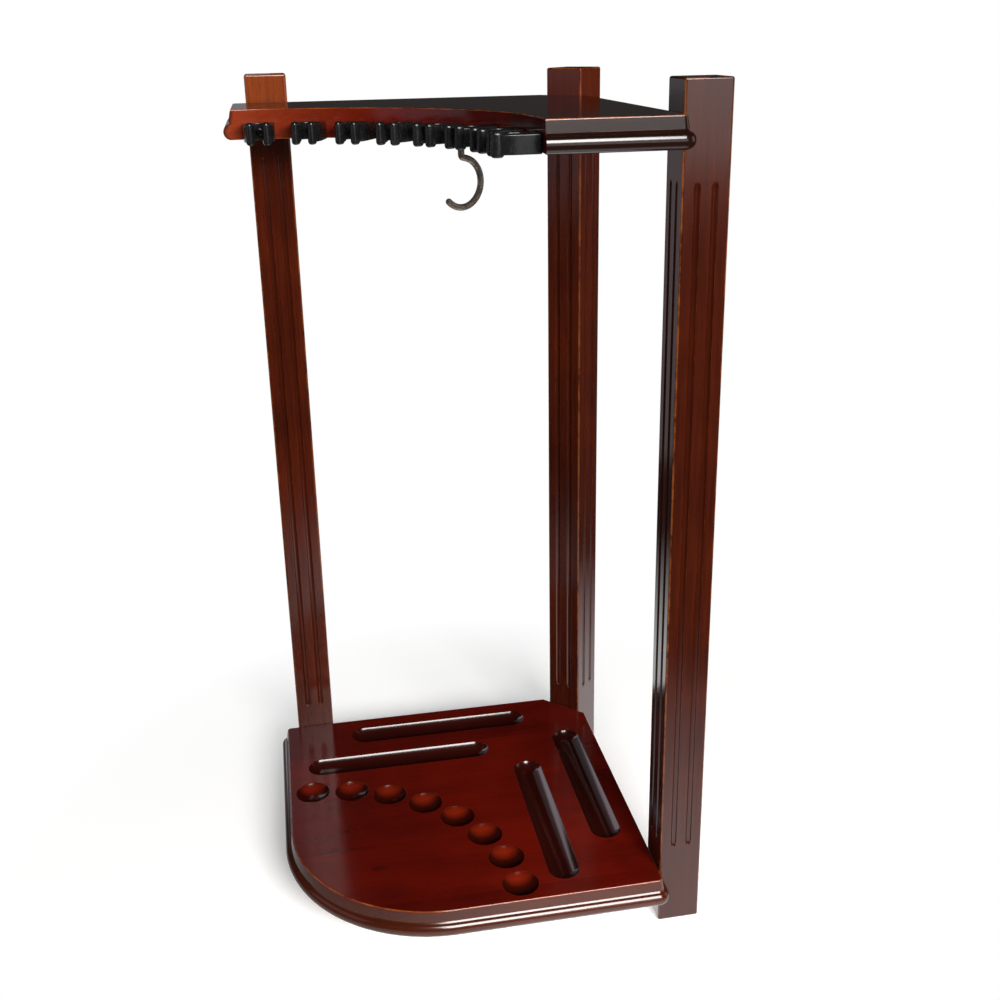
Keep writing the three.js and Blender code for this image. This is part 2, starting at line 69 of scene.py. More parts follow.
# The room's corner, where the two walls and the floor meet.
CORNER = Vector((RIGHT_POST_BOX[1].x, LEFT_POST_BOX[1].y, 0.0))
POST_WIDTH = LEFT_POST_BOX[1].x - LEFT_POST_BOX[0].x
POST_HEIGHT = LEFT_POST_BOX[1].z
SHELF_THICKNESS = TOP_SHELF_BOX[1].z - TOP_SHELF_BOX[0].z
SHELF_TOPS = {"bottom": BOTTOM_SHELF_BOX[1].z, "top": TOP_SHELF_BOX[1].z}
JOINT_HEIGHTS = {name: top - SHELF_THICKNESS / 2 for name, top in SHELF_TOPS.items()}
FIT_GAP = 0.3 * MM

# Vertex attributes that the materials read.
WEAR = "wear"          # 1 on rounded edges, 0 on flat faces
MATT_AND_LIGHT = "matt"          # up to 1 in a dimple, where the lacquer is thin and a painted light makes the colour paler
HOLLOW_SHADE = "recess"      # up to 1 where a painted shade darkens flutes, troughs and dimples
MOULDED = "moulded"    # 1 on a shelf's moulded edge

# The turn between two faces, in degrees, past which their edge is drawn hard.
HARD_WOOD = 38
HARD_RUBBER = 34
HARD_SCREW = 34
HARD_BOLT = 30
HARD_HOOK = 50


def length(name, description, default_mm, maximum_mm=1000.0):
    """A size that a user may change, given here in millimetres and kept in metres."""
    return FloatProperty(
        name=name,
        description=description,
        default=default_mm * MM,
        min=0.0,
        max=maximum_mm * MM,
        precision=5,
        subtype="DISTANCE",
        unit="LENGTH",
    )


def turn(name, description, default_degrees):
    """An angle that a user may change, given here in degrees and kept in radians."""
    return FloatProperty(
        name=name,
        description=description,
        default=math.radians(default_degrees),
        subtype="ANGLE",
        unit="ROTATION",
    )


def colour(name, description, red, green, blue):
    """A finish colour that a user may change, in linear light."""
    return FloatVectorProperty(
        name=name,
        description=description,
        default=(red, green, blue, 1.0),
        size=4,
        min=0.0,
        max=1.0,
        subtype="COLOR",
    )


def factor(name, description, default):
    """A plain number from 0 to 1 that a user may change."""
    return FloatProperty(
        name=name, description=description, default=default, min=0.0, max=1.0, subtype="FACTOR"
    )


class PostSizes(PropertyGroup):
    """Sizes of the three square posts."""

    edge_round: length("Edge round", "Radius of the posts' long edges and ends", 2.0)
    flute_width: length("Flute width", "Width of a flute at the face", 5.4)
    flute_depth: length("Flute depth", "Depth of a flute below the face", 2.0)
    flute_offset: length("Flute offset", "Middle of the face to the middle of a flute", 7.3)
    flute_end_gap: length("Flute end gap", "End of a flute to the nearest shelf", 26.0)
    flute_taper: length("Flute taper", "Length over which a flute runs out", 6.5)
    lip_round: length("Flute lip", "Softened strip along each side of a flute", 0.45)


class ShelfSizes(PropertyGroup):
    """Sizes of the two moulded shelves."""

    reach: length("Reach", "Wall to the straight front edge", 385.0)
    end_overhang: length("End overhang", "Shelf past the outer side of an end post", 13.0)
    corner_standoff: length("Corner standoff", "Room corner to the shelf's cut corner", 85.0)
    edge_round: length("Edge round", "Radius along the top of the moulding", 1.5)
    plain_round: length("Plain round", "Radius along the plain edges", 0.8)
    fascia_height: length("Fascia height", "Top of the shelf to the quirk", 10.6)
    fascia_flare: length("Fascia flare", "How far the fascia leans out", 1.9)
    quirk_depth: length("Quirk depth", "Step between fascia and bead", 1.0)
    bead_radius: length("Bead radius", "Radius of the bead", 7.0)
    stub_round: length("Stub round", "Corner radius beside the end posts", 4.0)
    front_round: length("Front round", "Radius of the bottom shelf's front corner", 147.0)
    lip_round: length("Hollow lip", "Radius round the dimples and troughs", 1.1)
    dimple_width: length("Dimple width", "Width of a cue butt dimple", 35.0)
    dimple_depth: length("Dimple depth", "Depth of a cue butt dimple", 7.5)
    trough_width: length("Trough width", "Width of a ball trough", 30.0)
    trough_length: length("Trough length", "Length of a ball trough", 200.0)
    trough_depth: length("Trough depth", "Depth of a ball trough", 7.0)
    near_offset: length("Near trough", "Wall to the middle of the nearer trough", 73.5)
    near_start: length("Near start", "Other wall to the end of the nearer trough", 112.0)
    far_offset: length("Far trough", "Wall to the middle of the farther trough", 128.5)
    far_start: length("Far start", "Other wall to the end of the farther trough", 163.5)


class CueSizes(PropertyGroup):
    """The arc that the cues stand on."""

    count: IntProperty(name="Cues", description="Number of cue places", default=8, min=1, max=12)
    step: turn("Step", "Angle between two cues, seen from the arc's centre", 12.3)
    centre_offset: length("Arc centre", "Arc centre from each wall", 367.5)
    cue_radius: length("Cue arc", "Arc centre to the cues", 194.0)
    face_radius: length("Hollow edge", "Arc centre to the top shelf's hollow edge", 217.0)


class ClipSizes(PropertyGroup):
    """Sizes of a rubber cue clip."""

    drop: length("Drop", "Top of the shelf to the middle of the clips", 19.0)
    width: length("Width", "Width of the band", 27.0)
    band_height: length("Band height", "Height of the band", 15.0)
    web: length("Web", "Rubber behind the cue", 5.0)
    hold_radius: length("Hold radius", "Radius of the hollow that holds the cue", 10.0)
    hold_stretch: length("Hold stretch", "How much deeper than wide the hollow is", 4.5)
    lip_width: length("Lip width", "Width of a rolled lip", 7.6)
    lip_depth: length("Lip depth", "Depth of a rolled lip, front to back", 10.5)
    lip_height: length("Lip height", "Height of a rolled lip", 19.4)
    lip_spacing: length("Lip spacing", "Distance between the two lips", 14.4)
    reach: length("Reach", "Shelf edge to the front of the lips", 39.5)


class HookSizes(PropertyGroup):
    """Sizes of the hook under the top shelf."""

    wall_offset: length("Wall offset", "Stem from each wall", 184.0)
    facing: turn("Facing", "Turn of the bow about the stem", 30.0)
    wire: length("Wire", "Diameter of the wire", 6.0)
    stem: length("Stem", "Straight stem below the shelf", 16.0)
    knee: length("Knee", "Radius between stem and bow", 3.0)
    bow_radius: length("Bow radius", "Radius of the bow, to the middle of the wire", 22.0)
    bow_end: turn("Bow end", "Where the bow ends, from the level", -135.0)
    thread_width: length("Thread width", "Diameter of the thread in the shelf", 5.0)
    thread_length: length("Thread length", "Length of the thread in the shelf", 14.0)


class HardwareSizes(PropertyGroup):
    """Sizes of the bolts, dowels and screws."""

    bolt_width: length("Bolt", "Diameter of a bolt's shank", 6.0)
    bolt_length: length("Bolt length", "Length under the head", 50.0)
    bolt_head_width: length("Bolt head", "Diameter of a bolt head", 12.0)
    bolt_head_height: length("Bolt head height", "Height of a bolt head", 4.0)
    bolt_key: length("Key socket", "Key socket, corner to corner", 5.0)
    bolt_key_depth: length("Key depth", "Depth of the key socket", 2.4)
    counterbore_width: length("Counterbore", "Diameter of a counterbore", 13.5)
    counterbore_depth: length("Counterbore depth", "Depth of a counterbore", 8.0)
    insert_width: length("Insert", "Diameter of a threaded insert", 10.0)
    insert_length: length("Insert length", "Length of a threaded insert", 15.0)
    dowel_width: length("Dowel", "Diameter of a dowel", 8.0)
    dowel_length: length("Dowel length", "Length of a dowel", 30.0)
    dowel_offset: length("Dowel offset", "Dowel from the middle of the joint", 12.0)
    screw_width: length("Clip screw", "Diameter of a clip screw", 3.5)
    screw_length: length("Clip screw length", "Length under the head", 18.0)
    screw_head_width: length("Screw head", "Diameter of a clip screw's head", 7.0)
    screw_head_height: length("Screw head height", "Height of a clip screw's head", 2.5)


class Finishes(PropertyGroup):
    """Colours of the finishes and of the stage."""

    stain_dark: colour("Stain, dark", "Red mahogany stain, dark grain", 0.036, 0.0011, 0.0004)
    stain_light: colour("Stain, light", "Red mahogany stain, light grain", 0.124, 0.0048, 0.0010)
    post_dark: colour("Post stain, dark", "Posts' brown stain, dark grain", 0.024, 0.0022, 0.0006)
    post_light: colour("Post stain, light", "Posts' brown stain, pale grain", 0.090, 0.0115, 0.0018)
    rubbed_edge: colour("Rubbed edge", "Lighter wood along the worn edges", 0.42, 0.13, 0.030)
    rubber: colour("Rubber", "Black rubber of the cue clips", 0.0030, 0.0031, 0.0034)
    antique: colour("Antique metal", "Aged nickel of the hook", 0.31, 0.27, 0.23)
    zinc: colour("Zinc", "Bright zinc of bolts and inserts", 0.56, 0.57, 0.58)
    # Made black as a painted shade, so that the screws stay dark inside the clips.
    shade_black_zinc: colour("Black zinc", "Blackened zinc of the clip screws", 0.030, 0.030, 0.032)
    beech: colour("Beech", "Pale wood of the dowels", 0.56, 0.36, 0.19)
    floor: colour("Floor", "Pale studio floor", 0.86, 0.86, 0.85)
    lacquer: factor("Lacquer", "Strength of the clear coat on the wood", 1.0)


class RackSettings(PropertyGroup):
    """Everything that a user may change on the cue rack."""

    post: PointerProperty(type=PostSizes)
    shelf: PointerProperty(type=ShelfSizes)
    cues: PointerProperty(type=CueSizes)
    clip: PointerProperty(type=ClipSizes)
    hook: PointerProperty(type=HookSizes)
    hardware: PointerProperty(type=HardwareSizes)
    finish: PointerProperty(type=Finishes)


# Shapes in the plane.


def arc(centre, radius, start, end, steps):
    """Points along an arc, from one angle to another, in degrees."""
    points = []
    for step in range(steps + 1):
        angle = math.radians(start + (end - start) * step / steps)
        offset = Vector((math.cos(angle), math.sin(angle))) * radius
        points.append(Vector(centre) + offset)
    return points


SHARPEST_MITRE = 0.6      # keeps a sharp corner from being drawn in too far


def drawn_in(points, inset):
    """A closed anticlockwise outline, drawn in by an even amount."""
    count = len(points)
    result = []
    for i, point in enumerate(points):
        before = (point - points[i - 1]).normalized()
        after = (points[(i + 1) % count] - point).normalized()
        inward = Vector((-before.y - after.y, before.x + after.x))
        inward.normalize()
        mitre = max(SHARPEST_MITRE, inward.dot(Vector((-after.y, after.x))))
        result.append(point + inward * (inset / mitre))
    return result


def lifted(points, z):
    """Plane points at one height."""
    return [Vector((point.x, point.y, z)) for point in points]


# Mesh building.


def new_ring(bm, points, wear=0.0):
    """Adds one ring of vertices, all equally worn."""
    layer = bm.verts.layers.float.get(WEAR) or bm.verts.layers.float.new(WEAR)
    ring = []
    for point in points:
        vertex = bm.verts.new(point)
        vertex[layer] = wear
        ring.append(vertex)
    return ring


def bridge(bm, low, high):
    """Joins two rings with equal counts. Anticlockwise rings, lower first, face outwards."""
    count = len(low)
    for i in range(count):
        j = (i + 1) % count
        bm.faces.new((low[i], low[j], high[j], high[i]))


def close_ring(bm, ring, upwards):
    """Closes a ring with one face."""
    bm.faces.new(ring if upwards else ring[::-1])


def close_stack(bm, rings):
    """Joins rings, the lowest first, into one closed shape."""
    for low, high in zip(rings, rings[1:]):
        bridge(bm, low, high)
    close_ring(bm, rings[0], upwards=False)
    close_ring(bm, rings[-1], upwards=True)


def rounded_levels(half, rounding, steps):
    """The (height, inset) levels of a shape with rounded ends, the lowest first."""
    upper = []
    for step in range(steps + 1):
        angle = math.radians(90 * step / steps)
        height = half - rounding + rounding * math.cos(angle)
        upper.append((height, rounding * (1 - math.sin(angle))))
    return [(-height, inset) for height, inset in upper] + upper[::-1]


def fill_between(bm, rings, upwards):
    """Fills the flat area between an outer ring and the rings of its holes."""
    edges = []
    for ring in rings:
        for i, vertex in enumerate(ring):
            after = ring[(i + 1) % len(ring)]
            edges.append(bm.edges.get((vertex, after)) or bm.edges.new((vertex, after)))
    normal = (0.0, 0.0, 1.0 if upwards else -1.0)
    made = bmesh.ops.triangle_fill(bm, use_beauty=True, edges=edges, normal=normal)
    faces = [item for item in made["geom"] if isinstance(item, bmesh.types.BMFace)]
    for face in faces:
        face.normal_update()
        if (face.normal.z > 0) != upwards:
            face.normal_flip()


MERGE_DISTANCE = 0.001 * MM


def merge_and_check(bm, name):
    """Merges doubled vertices and makes sure that the surface is closed."""
    bmesh.ops.remove_doubles(bm, verts=bm.verts, dist=MERGE_DISTANCE)
    bmesh.ops.dissolve_degenerate(bm, edges=bm.edges, dist=MERGE_DISTANCE)
    loose = [vertex for vertex in bm.verts if not vertex.link_faces]
    bmesh.ops.delete(bm, geom=loose, context="VERTS")
    open_edges = [edge for edge in bm.edges if len(edge.link_faces) != 2]
    if open_edges:
        raise RuntimeError(f"{name} is not closed: {len(open_edges)} open edges")


def object_from(bm, name):
    """Turns a bmesh into a linked object at the origin."""
    merge_and_check(bm, name)
    mesh = bpy.data.meshes.new(name)
    bm.to_mesh(mesh)
    bm.free()
    item = bpy.data.objects.new(name, mesh)
    bpy.context.scene.collection.objects.link(item)
    return item


def remove_object(item):
    """Removes a helper object together with its mesh."""
    mesh = item.data
    bpy.data.objects.remove(item)
    bpy.data.meshes.remove(mesh)


def settle(item):
    """Makes what the modifiers give the object's own mesh, and removes them."""
    graph = bpy.context.evaluated_depsgraph_get()
    graph.update()
    evaluated = item.evaluated_get(graph)
    mesh = bpy.data.meshes.new_from_object(
        evaluated, preserve_all_data_layers=True, depsgraph=graph
    )
    old = item.data
    item.modifiers.clear()
    item.data = mesh
    mesh.name = item.name
    bpy.data.meshes.remove(old)


def combine(item, cutter, operation):
    """Cuts a closed helper from an object, or joins it on, and removes the helper."""
    modifier = item.modifiers.new(operation.lower(), "BOOLEAN")
    modifier.operation = operation
    modifier.solver = "EXACT"
    modifier.object = cutter
    settle(item)
    remove_object(cutter)


def weld(item):
    """Joins corners that a cut has left at the same place."""
    bm = bmesh.new()
    bm.from_mesh(item.data)
    bmesh.ops.remove_doubles(bm, verts=bm.verts, dist=MERGE_DISTANCE)
    bm.to_mesh(item.data)
    bm.free()


def smooth_edges(item, sharp_degrees, weighted=True):
    """Smooth faces, sharp only where the surface turns hard, and flat faces that stay flat."""
    mesh = item.data
    mesh.polygons.foreach_set("use_smooth", [True] * len(mesh.polygons))
    mesh.set_sharp_from_angle(angle=math.radians(sharp_degrees))
    if weighted:
        modifier = item.modifiers.new("weighted normals", "WEIGHTED_NORMAL")
        modifier.keep_sharp = True
        modifier.weight = 100
        settle(item)


def finish_piece(item, material, body, nodes):
    """Gives a piece its material and its body, and hides the CAD nodes that it stands for."""
    item.data.materials.clear()
    item.data.materials.append(material)
    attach(item, body)
    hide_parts(*nodes)


def lathe(bm, profile, place, steps):
    """A closed turned shape about the local Y axis. The profile is (y, radius), lowest y first."""
    rings = []
    for y, radius in profile:
        points = []
        for step in range(steps):
            angle = 2 * math.pi * step / steps
            points.append(place @ Vector((radius * math.sin(angle), y, radius * math.cos(angle))))
        rings.append(new_ring(bm, points))
    close_stack(bm, rings)


def post_place(name, height=0.0):
    """The place of a post's own frame, whose wall side is towards its +Y."""
    low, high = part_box(f"{name}_post")
    middle = (low + high) / 2
    spot = Matrix.Translation((middle.x, middle.y, height))
    return spot @ Matrix.Rotation(math.radians(POST_TURNS[name]), 4, "Z")


# Posts.

ROUND_STEPS = 4
FLUTE_COLUMNS = 12
FLUTE_END_ROWS = 8
FLUTE_LONG_ROWS = 8
FLUTE_FILL = 0.97         # share of a flute's width that its round bottom takes
FLUTE_RIM_WEAR = 0.3
LIP_BEND = 0.45           # where the softened strip bends, as a share of its width
LIP_DROP = 0.10           # how far it has dropped there
LIP_WEAR = 0.45
LIP_GROWTH = 4            # a running-out flute has its whole lip at 1/4 of its size
LIP_WEAR_GROWTH = 3       # and all its wear at 1/3


def flute_section(post, share):
    """Half widths and depths across one flute, from its left to its right, with their wear.

    A share of 1 is the full flute, and 0 is the plain face.
    """
    half = post.flute_width / 2 * share
    depth = post.flute_depth * share
    lip = post.lip_round * min(1.0, share * LIP_GROWTH)
    bend = half + lip * LIP_BEND
    drop = lip * LIP_DROP
    columns = [(-half - lip, 0.0, 0.0), (-bend, drop, LIP_WEAR)]
    radius = (post.flute_width**2 / 4 + post.flute_depth**2) / (2 * post.flute_depth)
    for step in range(FLUTE_COLUMNS + 1):
        side = -1 + 2 * step / FLUTE_COLUMNS
        across = side * post.flute_width / 2 * FLUTE_FILL
        full = math.sqrt(radius**2 - across**2) - (radius - post.flute_depth)
        worn = FLUTE_RIM_WEAR if step in (0, FLUTE_COLUMNS) else 0.0
        columns.append((side * half * FLUTE_FILL, full * share if depth else 0.0, worn))
    columns += [(bend, drop, LIP_WEAR), (half + lip, 0.0, 0.0)]
    return columns


def post_section(post, inset, share, worn):
    """One ring of a post: rounded corners, and two flutes on every side but the wall's."""
    middle = POST_WIDTH / 2 - post.edge_round
    radius = post.edge_round - inset
    face = POST_WIDTH / 2 - inset
    columns = flute_section(post, share)
    points = []
    wears = []
    flute_shades = []
    for corner in range(4):
        angle = 45 + 90 * corner
        spot = Vector((math.cos(math.radians(angle)), math.sin(math.radians(angle))))
        spot *= middle * math.sqrt(2)
        for step, point in enumerate(arc(spot, radius, angle - 45, angle + 45, 2 * ROUND_STEPS)):
            points.append(point)
            on_edge = math.sin(math.pi * step / (2 * ROUND_STEPS))
            wears.append(max(on_edge, worn))
            flute_shades.append(0.0)
        if corner == 0:
            continue
        outward = Vector((math.cos(math.radians(angle + 45)), math.sin(math.radians(angle + 45))))
        along = Vector((-outward.y, outward.x))
        for offset in (-post.flute_offset, post.flute_offset):
            for across, depth, lip_worn in columns:
                points.append(outward * (face - depth) + along * (offset + across))
                wears.append(max(lip_worn * min(1.0, share * LIP_WEAR_GROWTH), worn))
                # Painted shade, darkest at the bottom of a flute.
                flute_shades.append(max(0.0, depth) / post.flute_depth)
    return points, wears, flute_shades


def post_blank(post, name):
    """A post without its bores, in its own frame."""
    bm = bmesh.new()
    for layer_name in (WEAR, HOLLOW_SHADE):
        bm.verts.layers.float.new(layer_name)
    wear_layer = bm.verts.layers.float[WEAR]
    hollow_shade_layer = bm.verts.layers.float[HOLLOW_SHADE]
    low = SHELF_TOPS["bottom"] + post.flute_end_gap
    high = SHELF_TOPS["top"] - SHELF_THICKNESS - post.flute_end_gap
    levels = []
    for step in range(ROUND_STEPS + 1):
        angle = math.radians(90 * step / ROUND_STEPS)
        inset = post.edge_round * (1 - math.sin(angle))
        height = post.edge_round * (1 - math.cos(angle))
        levels.append((height, inset, 0.0, math.sin(2 * angle)))
    levels.append((low - 1 * MM, 0.0, 0.0, 0.0))
    for step in range(FLUTE_END_ROWS + 1):
        angle = math.radians(90 * step / FLUTE_END_ROWS)
        levels.append((low + post.flute_taper * (1 - math.cos(angle)), 0.0, math.sin(angle), 0.0))
    start = low + post.flute_taper
    middle = (low + high) / 2
    for step in range(1, FLUTE_LONG_ROWS + 1):
        levels.append((start + (middle - start) * step / FLUTE_LONG_ROWS, 0.0, 1.0, 0.0))
    # The upper half is the lower half the other way up, as far as the flutes go.
    flutes = [level for level in levels if low <= level[0] < middle]
    levels += [(low + high - z, inset, share, worn) for z, inset, share, worn in reversed(flutes)]
    levels.append((high + 1 * MM, 0.0, 0.0, 0.0))
    ends = [level for level in levels if level[0] <= post.edge_round + 1e-9]
    levels += [(POST_HEIGHT - z, inset, share, worn) for z, inset, share, worn in reversed(ends)]
    rings = []
    for z, inset, share, worn in levels:
        points, wears, flute_shades = post_section(post, inset, share, worn)
        ring = new_ring(bm, lifted(points, z))
        for vertex, value, recess in zip(ring, wears, flute_shades):
            vertex[wear_layer] = value
            vertex[hollow_shade_layer] = recess
        rings.append(ring)
    close_stack(bm, rings)
    return object_from(bm, name)


BORE_STEPS = 40
CUT_PAST = 1 * MM         # how far a cutter runs past the face that it cuts
BORE_SOFT = 0.5 * MM      # the softened rim of a counterbore


def joint_bores_in_post(hardware, name):
    """Cutters for the bores of both shelf joints in a post's own frame."""
    bm = bmesh.new()
    front = -POST_WIDTH / 2
    back = POST_WIDTH / 2
    bolt = hardware.bolt_width / 2 + FIT_GAP
    wide = hardware.counterbore_width / 2
    dowel = hardware.dowel_width / 2 + FIT_GAP
    for height in JOINT_HEIGHTS.values():
        seat = back - hardware.counterbore_depth
        spot = Matrix.Translation((0, 0, height))
        bolt_profile = [
            (front - CUT_PAST, bolt),
            (seat, bolt),
            (seat, wide),
            (back - BORE_SOFT, wide),
            (back - BORE_SOFT * 0.3, wide + BORE_SOFT * 0.3),
            (back + CUT_PAST, wide + BORE_SOFT * 3),
        ]
        lathe(bm, bolt_profile, spot, BORE_STEPS)
        for side in (-1, 1):
            place = spot @ Matrix.Translation((side * hardware.dowel_offset, 0, 0))
            end = front + hardware.dowel_length / 2 + CUT_PAST
            lathe(bm, [(front - CUT_PAST, dowel), (end, dowel)], place, BORE_STEPS)
    return object_from(bm, f"{name}_bores")


def build_post(settings, name):
    """A finished post in its place."""
    item = post_blank(settings.post, f"{name}_post_wood")
    combine(item, joint_bores_in_post(settings.hardware, name), "DIFFERENCE")
    item.data.transform(post_place(name))
    smooth_edges(item, HARD_WOOD)
    return item


# Shelves, drawn from the room's corner and then moved into the row's frame.

BEAD_STEPS = 20
TOP_STEPS = 6
FRONT_STEPS = 72          # round the bottom shelf's front corner
HOLLOW_STEPS = 96         # along the top shelf's hollow edge
STUB_STEPS = 8            # round a corner beside an end post
WORN_SHARE = 0.6          # share of a plain edge's rounding that is rubbed


def shelf_levels(shelf):
    """Levels of a shelf edge from its top: depth, moulding's reach and plain edges' inset, wear."""
    levels = []
    for step in range(TOP_STEPS + 1):
        angle = math.radians(90 - 90 * step / TOP_STEPS)
        down = shelf.edge_round * (1 - math.sin(angle))
        levels.append((down, shelf.edge_round * (math.cos(angle) - 1), math.sin(2 * angle)))
    flare = shelf.fascia_flare
    height = shelf.fascia_height
    quirk = flare - shelf.quirk_depth
    # The fascia's rubbed lower edge, and the step back to the bead.
    levels += [
        (height - 0.35 * MM, flare - 0.10 * MM, 0.2),
        (height - 0.05 * MM, flare - 0.12 * MM, 0.9),
        (height + 0.15 * MM, quirk + 0.15 * MM, 0.0),
        (height + shelf.quirk_depth / 4, quirk, 0.0),
    ]
    first = math.degrees(math.acos(quirk / shelf.bead_radius))
    for step in range(1, BEAD_STEPS + 1):
        angle = math.radians(first + (-90 - first) * step / BEAD_STEPS)
        down = SHELF_THICKNESS - shelf.bead_radius * (1 + math.sin(angle))
        levels.append((down, shelf.bead_radius * math.cos(angle), 0.0))
    result = []
    for down, out, worn in levels:
        edge = min(down, SHELF_THICKNESS - down)
        inset = 0.0
        edge_worn = 0.0
        if edge < shelf.plain_round:
            rise = shelf.plain_round - edge
            inset = shelf.plain_round - math.sqrt(max(0.0, shelf.plain_round**2 - rise**2))
            edge_worn = 1.0 if 0.0 < edge < shelf.plain_round * WORN_SHARE else 0.0
        result.append((down, out, inset, worn, edge_worn))
    return result


def front_with_round_corner(settings, out, inset):
    """The bottom shelf's front: one big rounded corner, all moulded, so nothing is inset."""
    shelf = settings.shelf
    centre = -shelf.reach + shelf.front_round
    points = arc((centre, centre), shelf.front_round + out, 180, 270, FRONT_STEPS)
    return points, False


def front_with_hollow(settings, out, inset):
    """The top shelf's front: a hollow arc between two straight edges."""
    shelf = settings.shelf
    cues = settings.cues
    radius = cues.face_radius + inset
    overrun = shelf.reach + out - cues.centre_offset
    end = math.degrees(math.asin(overrun / radius))
    centre = (-cues.centre_offset, -cues.centre_offset)
    return arc(centre, radius, 90 + end, -end, HOLLOW_STEPS), True


def shelf_outline(settings, out, inset, front):
    """A shelf's outline at one level, anticlockwise, with a mark on its plain edges."""
    shelf = settings.shelf
    edge = -(POST_WIDTH + FIT_GAP) - inset
    chamfer = -(shelf.corner_standoff + FIT_GAP) * math.sqrt(2) - inset * math.sqrt(2)
    side = -(shelf.reach - shelf.end_overhang + FIT_GAP)
    plain_edge = -(POST_WIDTH + FIT_GAP)
    centre = Vector((-shelf.reach + shelf.stub_round, plain_edge - shelf.stub_round))
    corner = arc(centre, shelf.stub_round + out, 90, 180, STUB_STEPS)
    stub = [Vector((side, edge)), Vector((side, plain_edge + out))] + corner
    wall = [Vector((edge, chamfer - edge)), Vector((chamfer - edge, edge))]
    front_points, front_plain = front(settings, out, inset)
    mirrored = [Vector((point.y, point.x)) for point in reversed(stub)]
    points = wall + stub + front_points + mirrored
    plain = [True] * 2 + [True] + [False] * (len(stub) - 1) + [front_plain] * len(front_points)
    plain += [False] * (len(stub) - 1) + [True]
    # The hollow's two ends lie on the moulded edges as well.
    plain[len(wall) + len(stub)] = False
    plain[len(wall) + len(stub) + len(front_points) - 1] = False
    return points, plain


MASK_RINGS = 3            # rings over which a hollow's masks come in


def shelf_blank(settings, name, top, front, hollows):
    """A shelf without its bores. Each hollow is how matt it is, which also sets its painted light,
    its middle, and its rings.
    """
    shelf = settings.shelf
    bm = bmesh.new()
    for layer_name in (WEAR, MATT_AND_LIGHT, HOLLOW_SHADE, MOULDED):
        bm.verts.layers.float.new(layer_name)
    wear_layer = bm.verts.layers.float[WEAR]
    hollow_shade_layer = bm.verts.layers.float[HOLLOW_SHADE]
    matt_and_light_layer = bm.verts.layers.float[MATT_AND_LIGHT]
    moulded_layer = bm.verts.layers.float[MOULDED]
    rings = []
    for down, out, inset, worn, edge_worn in shelf_levels(settings.shelf):
        outline, plain = shelf_outline(settings, out, inset, front)
        ring = new_ring(bm, [CORNER + point for point in lifted(outline, top - down)])
        for vertex, is_plain in zip(ring, plain):
            vertex[wear_layer] = edge_worn if is_plain else worn
            vertex[moulded_layer] = 0.0 if is_plain or down < shelf.edge_round else 1.0
        rings.append(ring)
    for upper, lower in zip(rings, rings[1:]):
        bridge(bm, lower, upper)
    openings = []
    for matt, centre, levels in hollows:
        lip = [new_ring(bm, [CORNER + point for point in points], worn) for points, worn in levels]
        for step, ring in enumerate(lip):
            inside = min(1.0, step / MASK_RINGS)
            for vertex in ring:
                vertex[matt_and_light_layer] = matt * inside
                offset = vertex.co.xy - CORNER.xy - centre
                # Painted shade: darker towards a dimple's front and rim, and all through a trough.
                hollow_shade = dimple_shade(offset, shelf) if matt else 1.0
                vertex[hollow_shade_layer] = hollow_shade * inside
        for outer, inner in zip(lip, lip[1:]):
            bridge(bm, outer, inner)
        openings.append(lip[0])
    fill_between(bm, [rings[0], *openings], upwards=True)
    fill_between(bm, [rings[-1]], upwards=False)
    return object_from(bm, name)


SHADE_EDGE = 0.68          # how far behind a dimple's middle the painted shade ends, of its radius
SHADE_SLOPE = 1.9          # how fast it darkens from there to the front
SHADE_RIM = 0.75           # how dark it is round the rim


def dimple_shade(offset, shelf):
    """How much painted shade a place in a dimple gets: most at the rim and towards the front."""
    reach = offset / (shelf.dimple_width / 2)
    towards_front = max(0.0, SHADE_SLOPE * (SHADE_EDGE - reach.y))
    return min(1.0, SHADE_RIM * reach.length_squared ** 2 + towards_front)


LIP_STEPS = 5
BOWL_STEPS = 14
DIMPLE_STEPS = 36         # round each half of a dimple
TROUGH_STEPS = 28         # round each end of a trough
HOLLOW_LIP_WEAR = 0.42
FIRST_MATT_AND_LIGHT = 0.5          # how matt the leftmost dimple is, and how much painted light it gets
MATT_AND_LIGHT_STEP = 0.14          # how much more the next one is


def hollow_profile(width, depth, lip):
    """Radius, depth and wear of a scooped hollow, from its soft lip to its middle."""
    ball = (width**2 / 4 + depth**2) / (2 * depth)
    above = ball - depth
    lip_centre = math.sqrt((ball + lip) ** 2 - (above + lip) ** 2)
    slope = math.asin(lip_centre / (ball + lip))
    profile = []
    for step in range(LIP_STEPS + 1):
        angle = slope * step / LIP_STEPS
        worn = math.sin(math.pi * min(1.0, (step + 0.4) / LIP_STEPS))
        radius = lip_centre - lip * math.sin(angle)
        worn = worn * HOLLOW_LIP_WEAR if step else 0.0
        profile.append((radius, lip * (1 - math.cos(angle)), worn))
    for step in range(1, BOWL_STEPS + 1):
        angle = slope * (1 - step / BOWL_STEPS)
        profile.append((ball * math.sin(angle), ball * math.cos(angle) - above, 0.0))
    return profile


def hollow_rings(centre, along, straight, top, profile, end_steps):
    """Rings of a dimple, or of a trough that runs along one axis."""
    ends = [centre + along * straight / 2, centre - along * straight / 2]
    facing = math.degrees(math.atan2(along.y, along.x))
    rings = []
    for radius, down, worn in profile:
        right = arc(ends[0], radius, facing - 90, facing + 90, end_steps)
        left = arc(ends[1], radius, facing + 90, facing + 270, end_steps)
        if straight == 0:
            right = right[:-1]
            left = left[:-1]
        rings.append((lifted(right + left, top - down), worn))
    return rings


def cue_directions(cues):
    """Unit directions from the arc's centre to the cues, the leftmost first."""
    directions = []
    for i in range(cues.count):
        angle = math.radians(45) + cues.step * ((cues.count - 1) / 2 - i)
        directions.append(Vector((math.cos(angle), math.sin(angle))))
    return directions


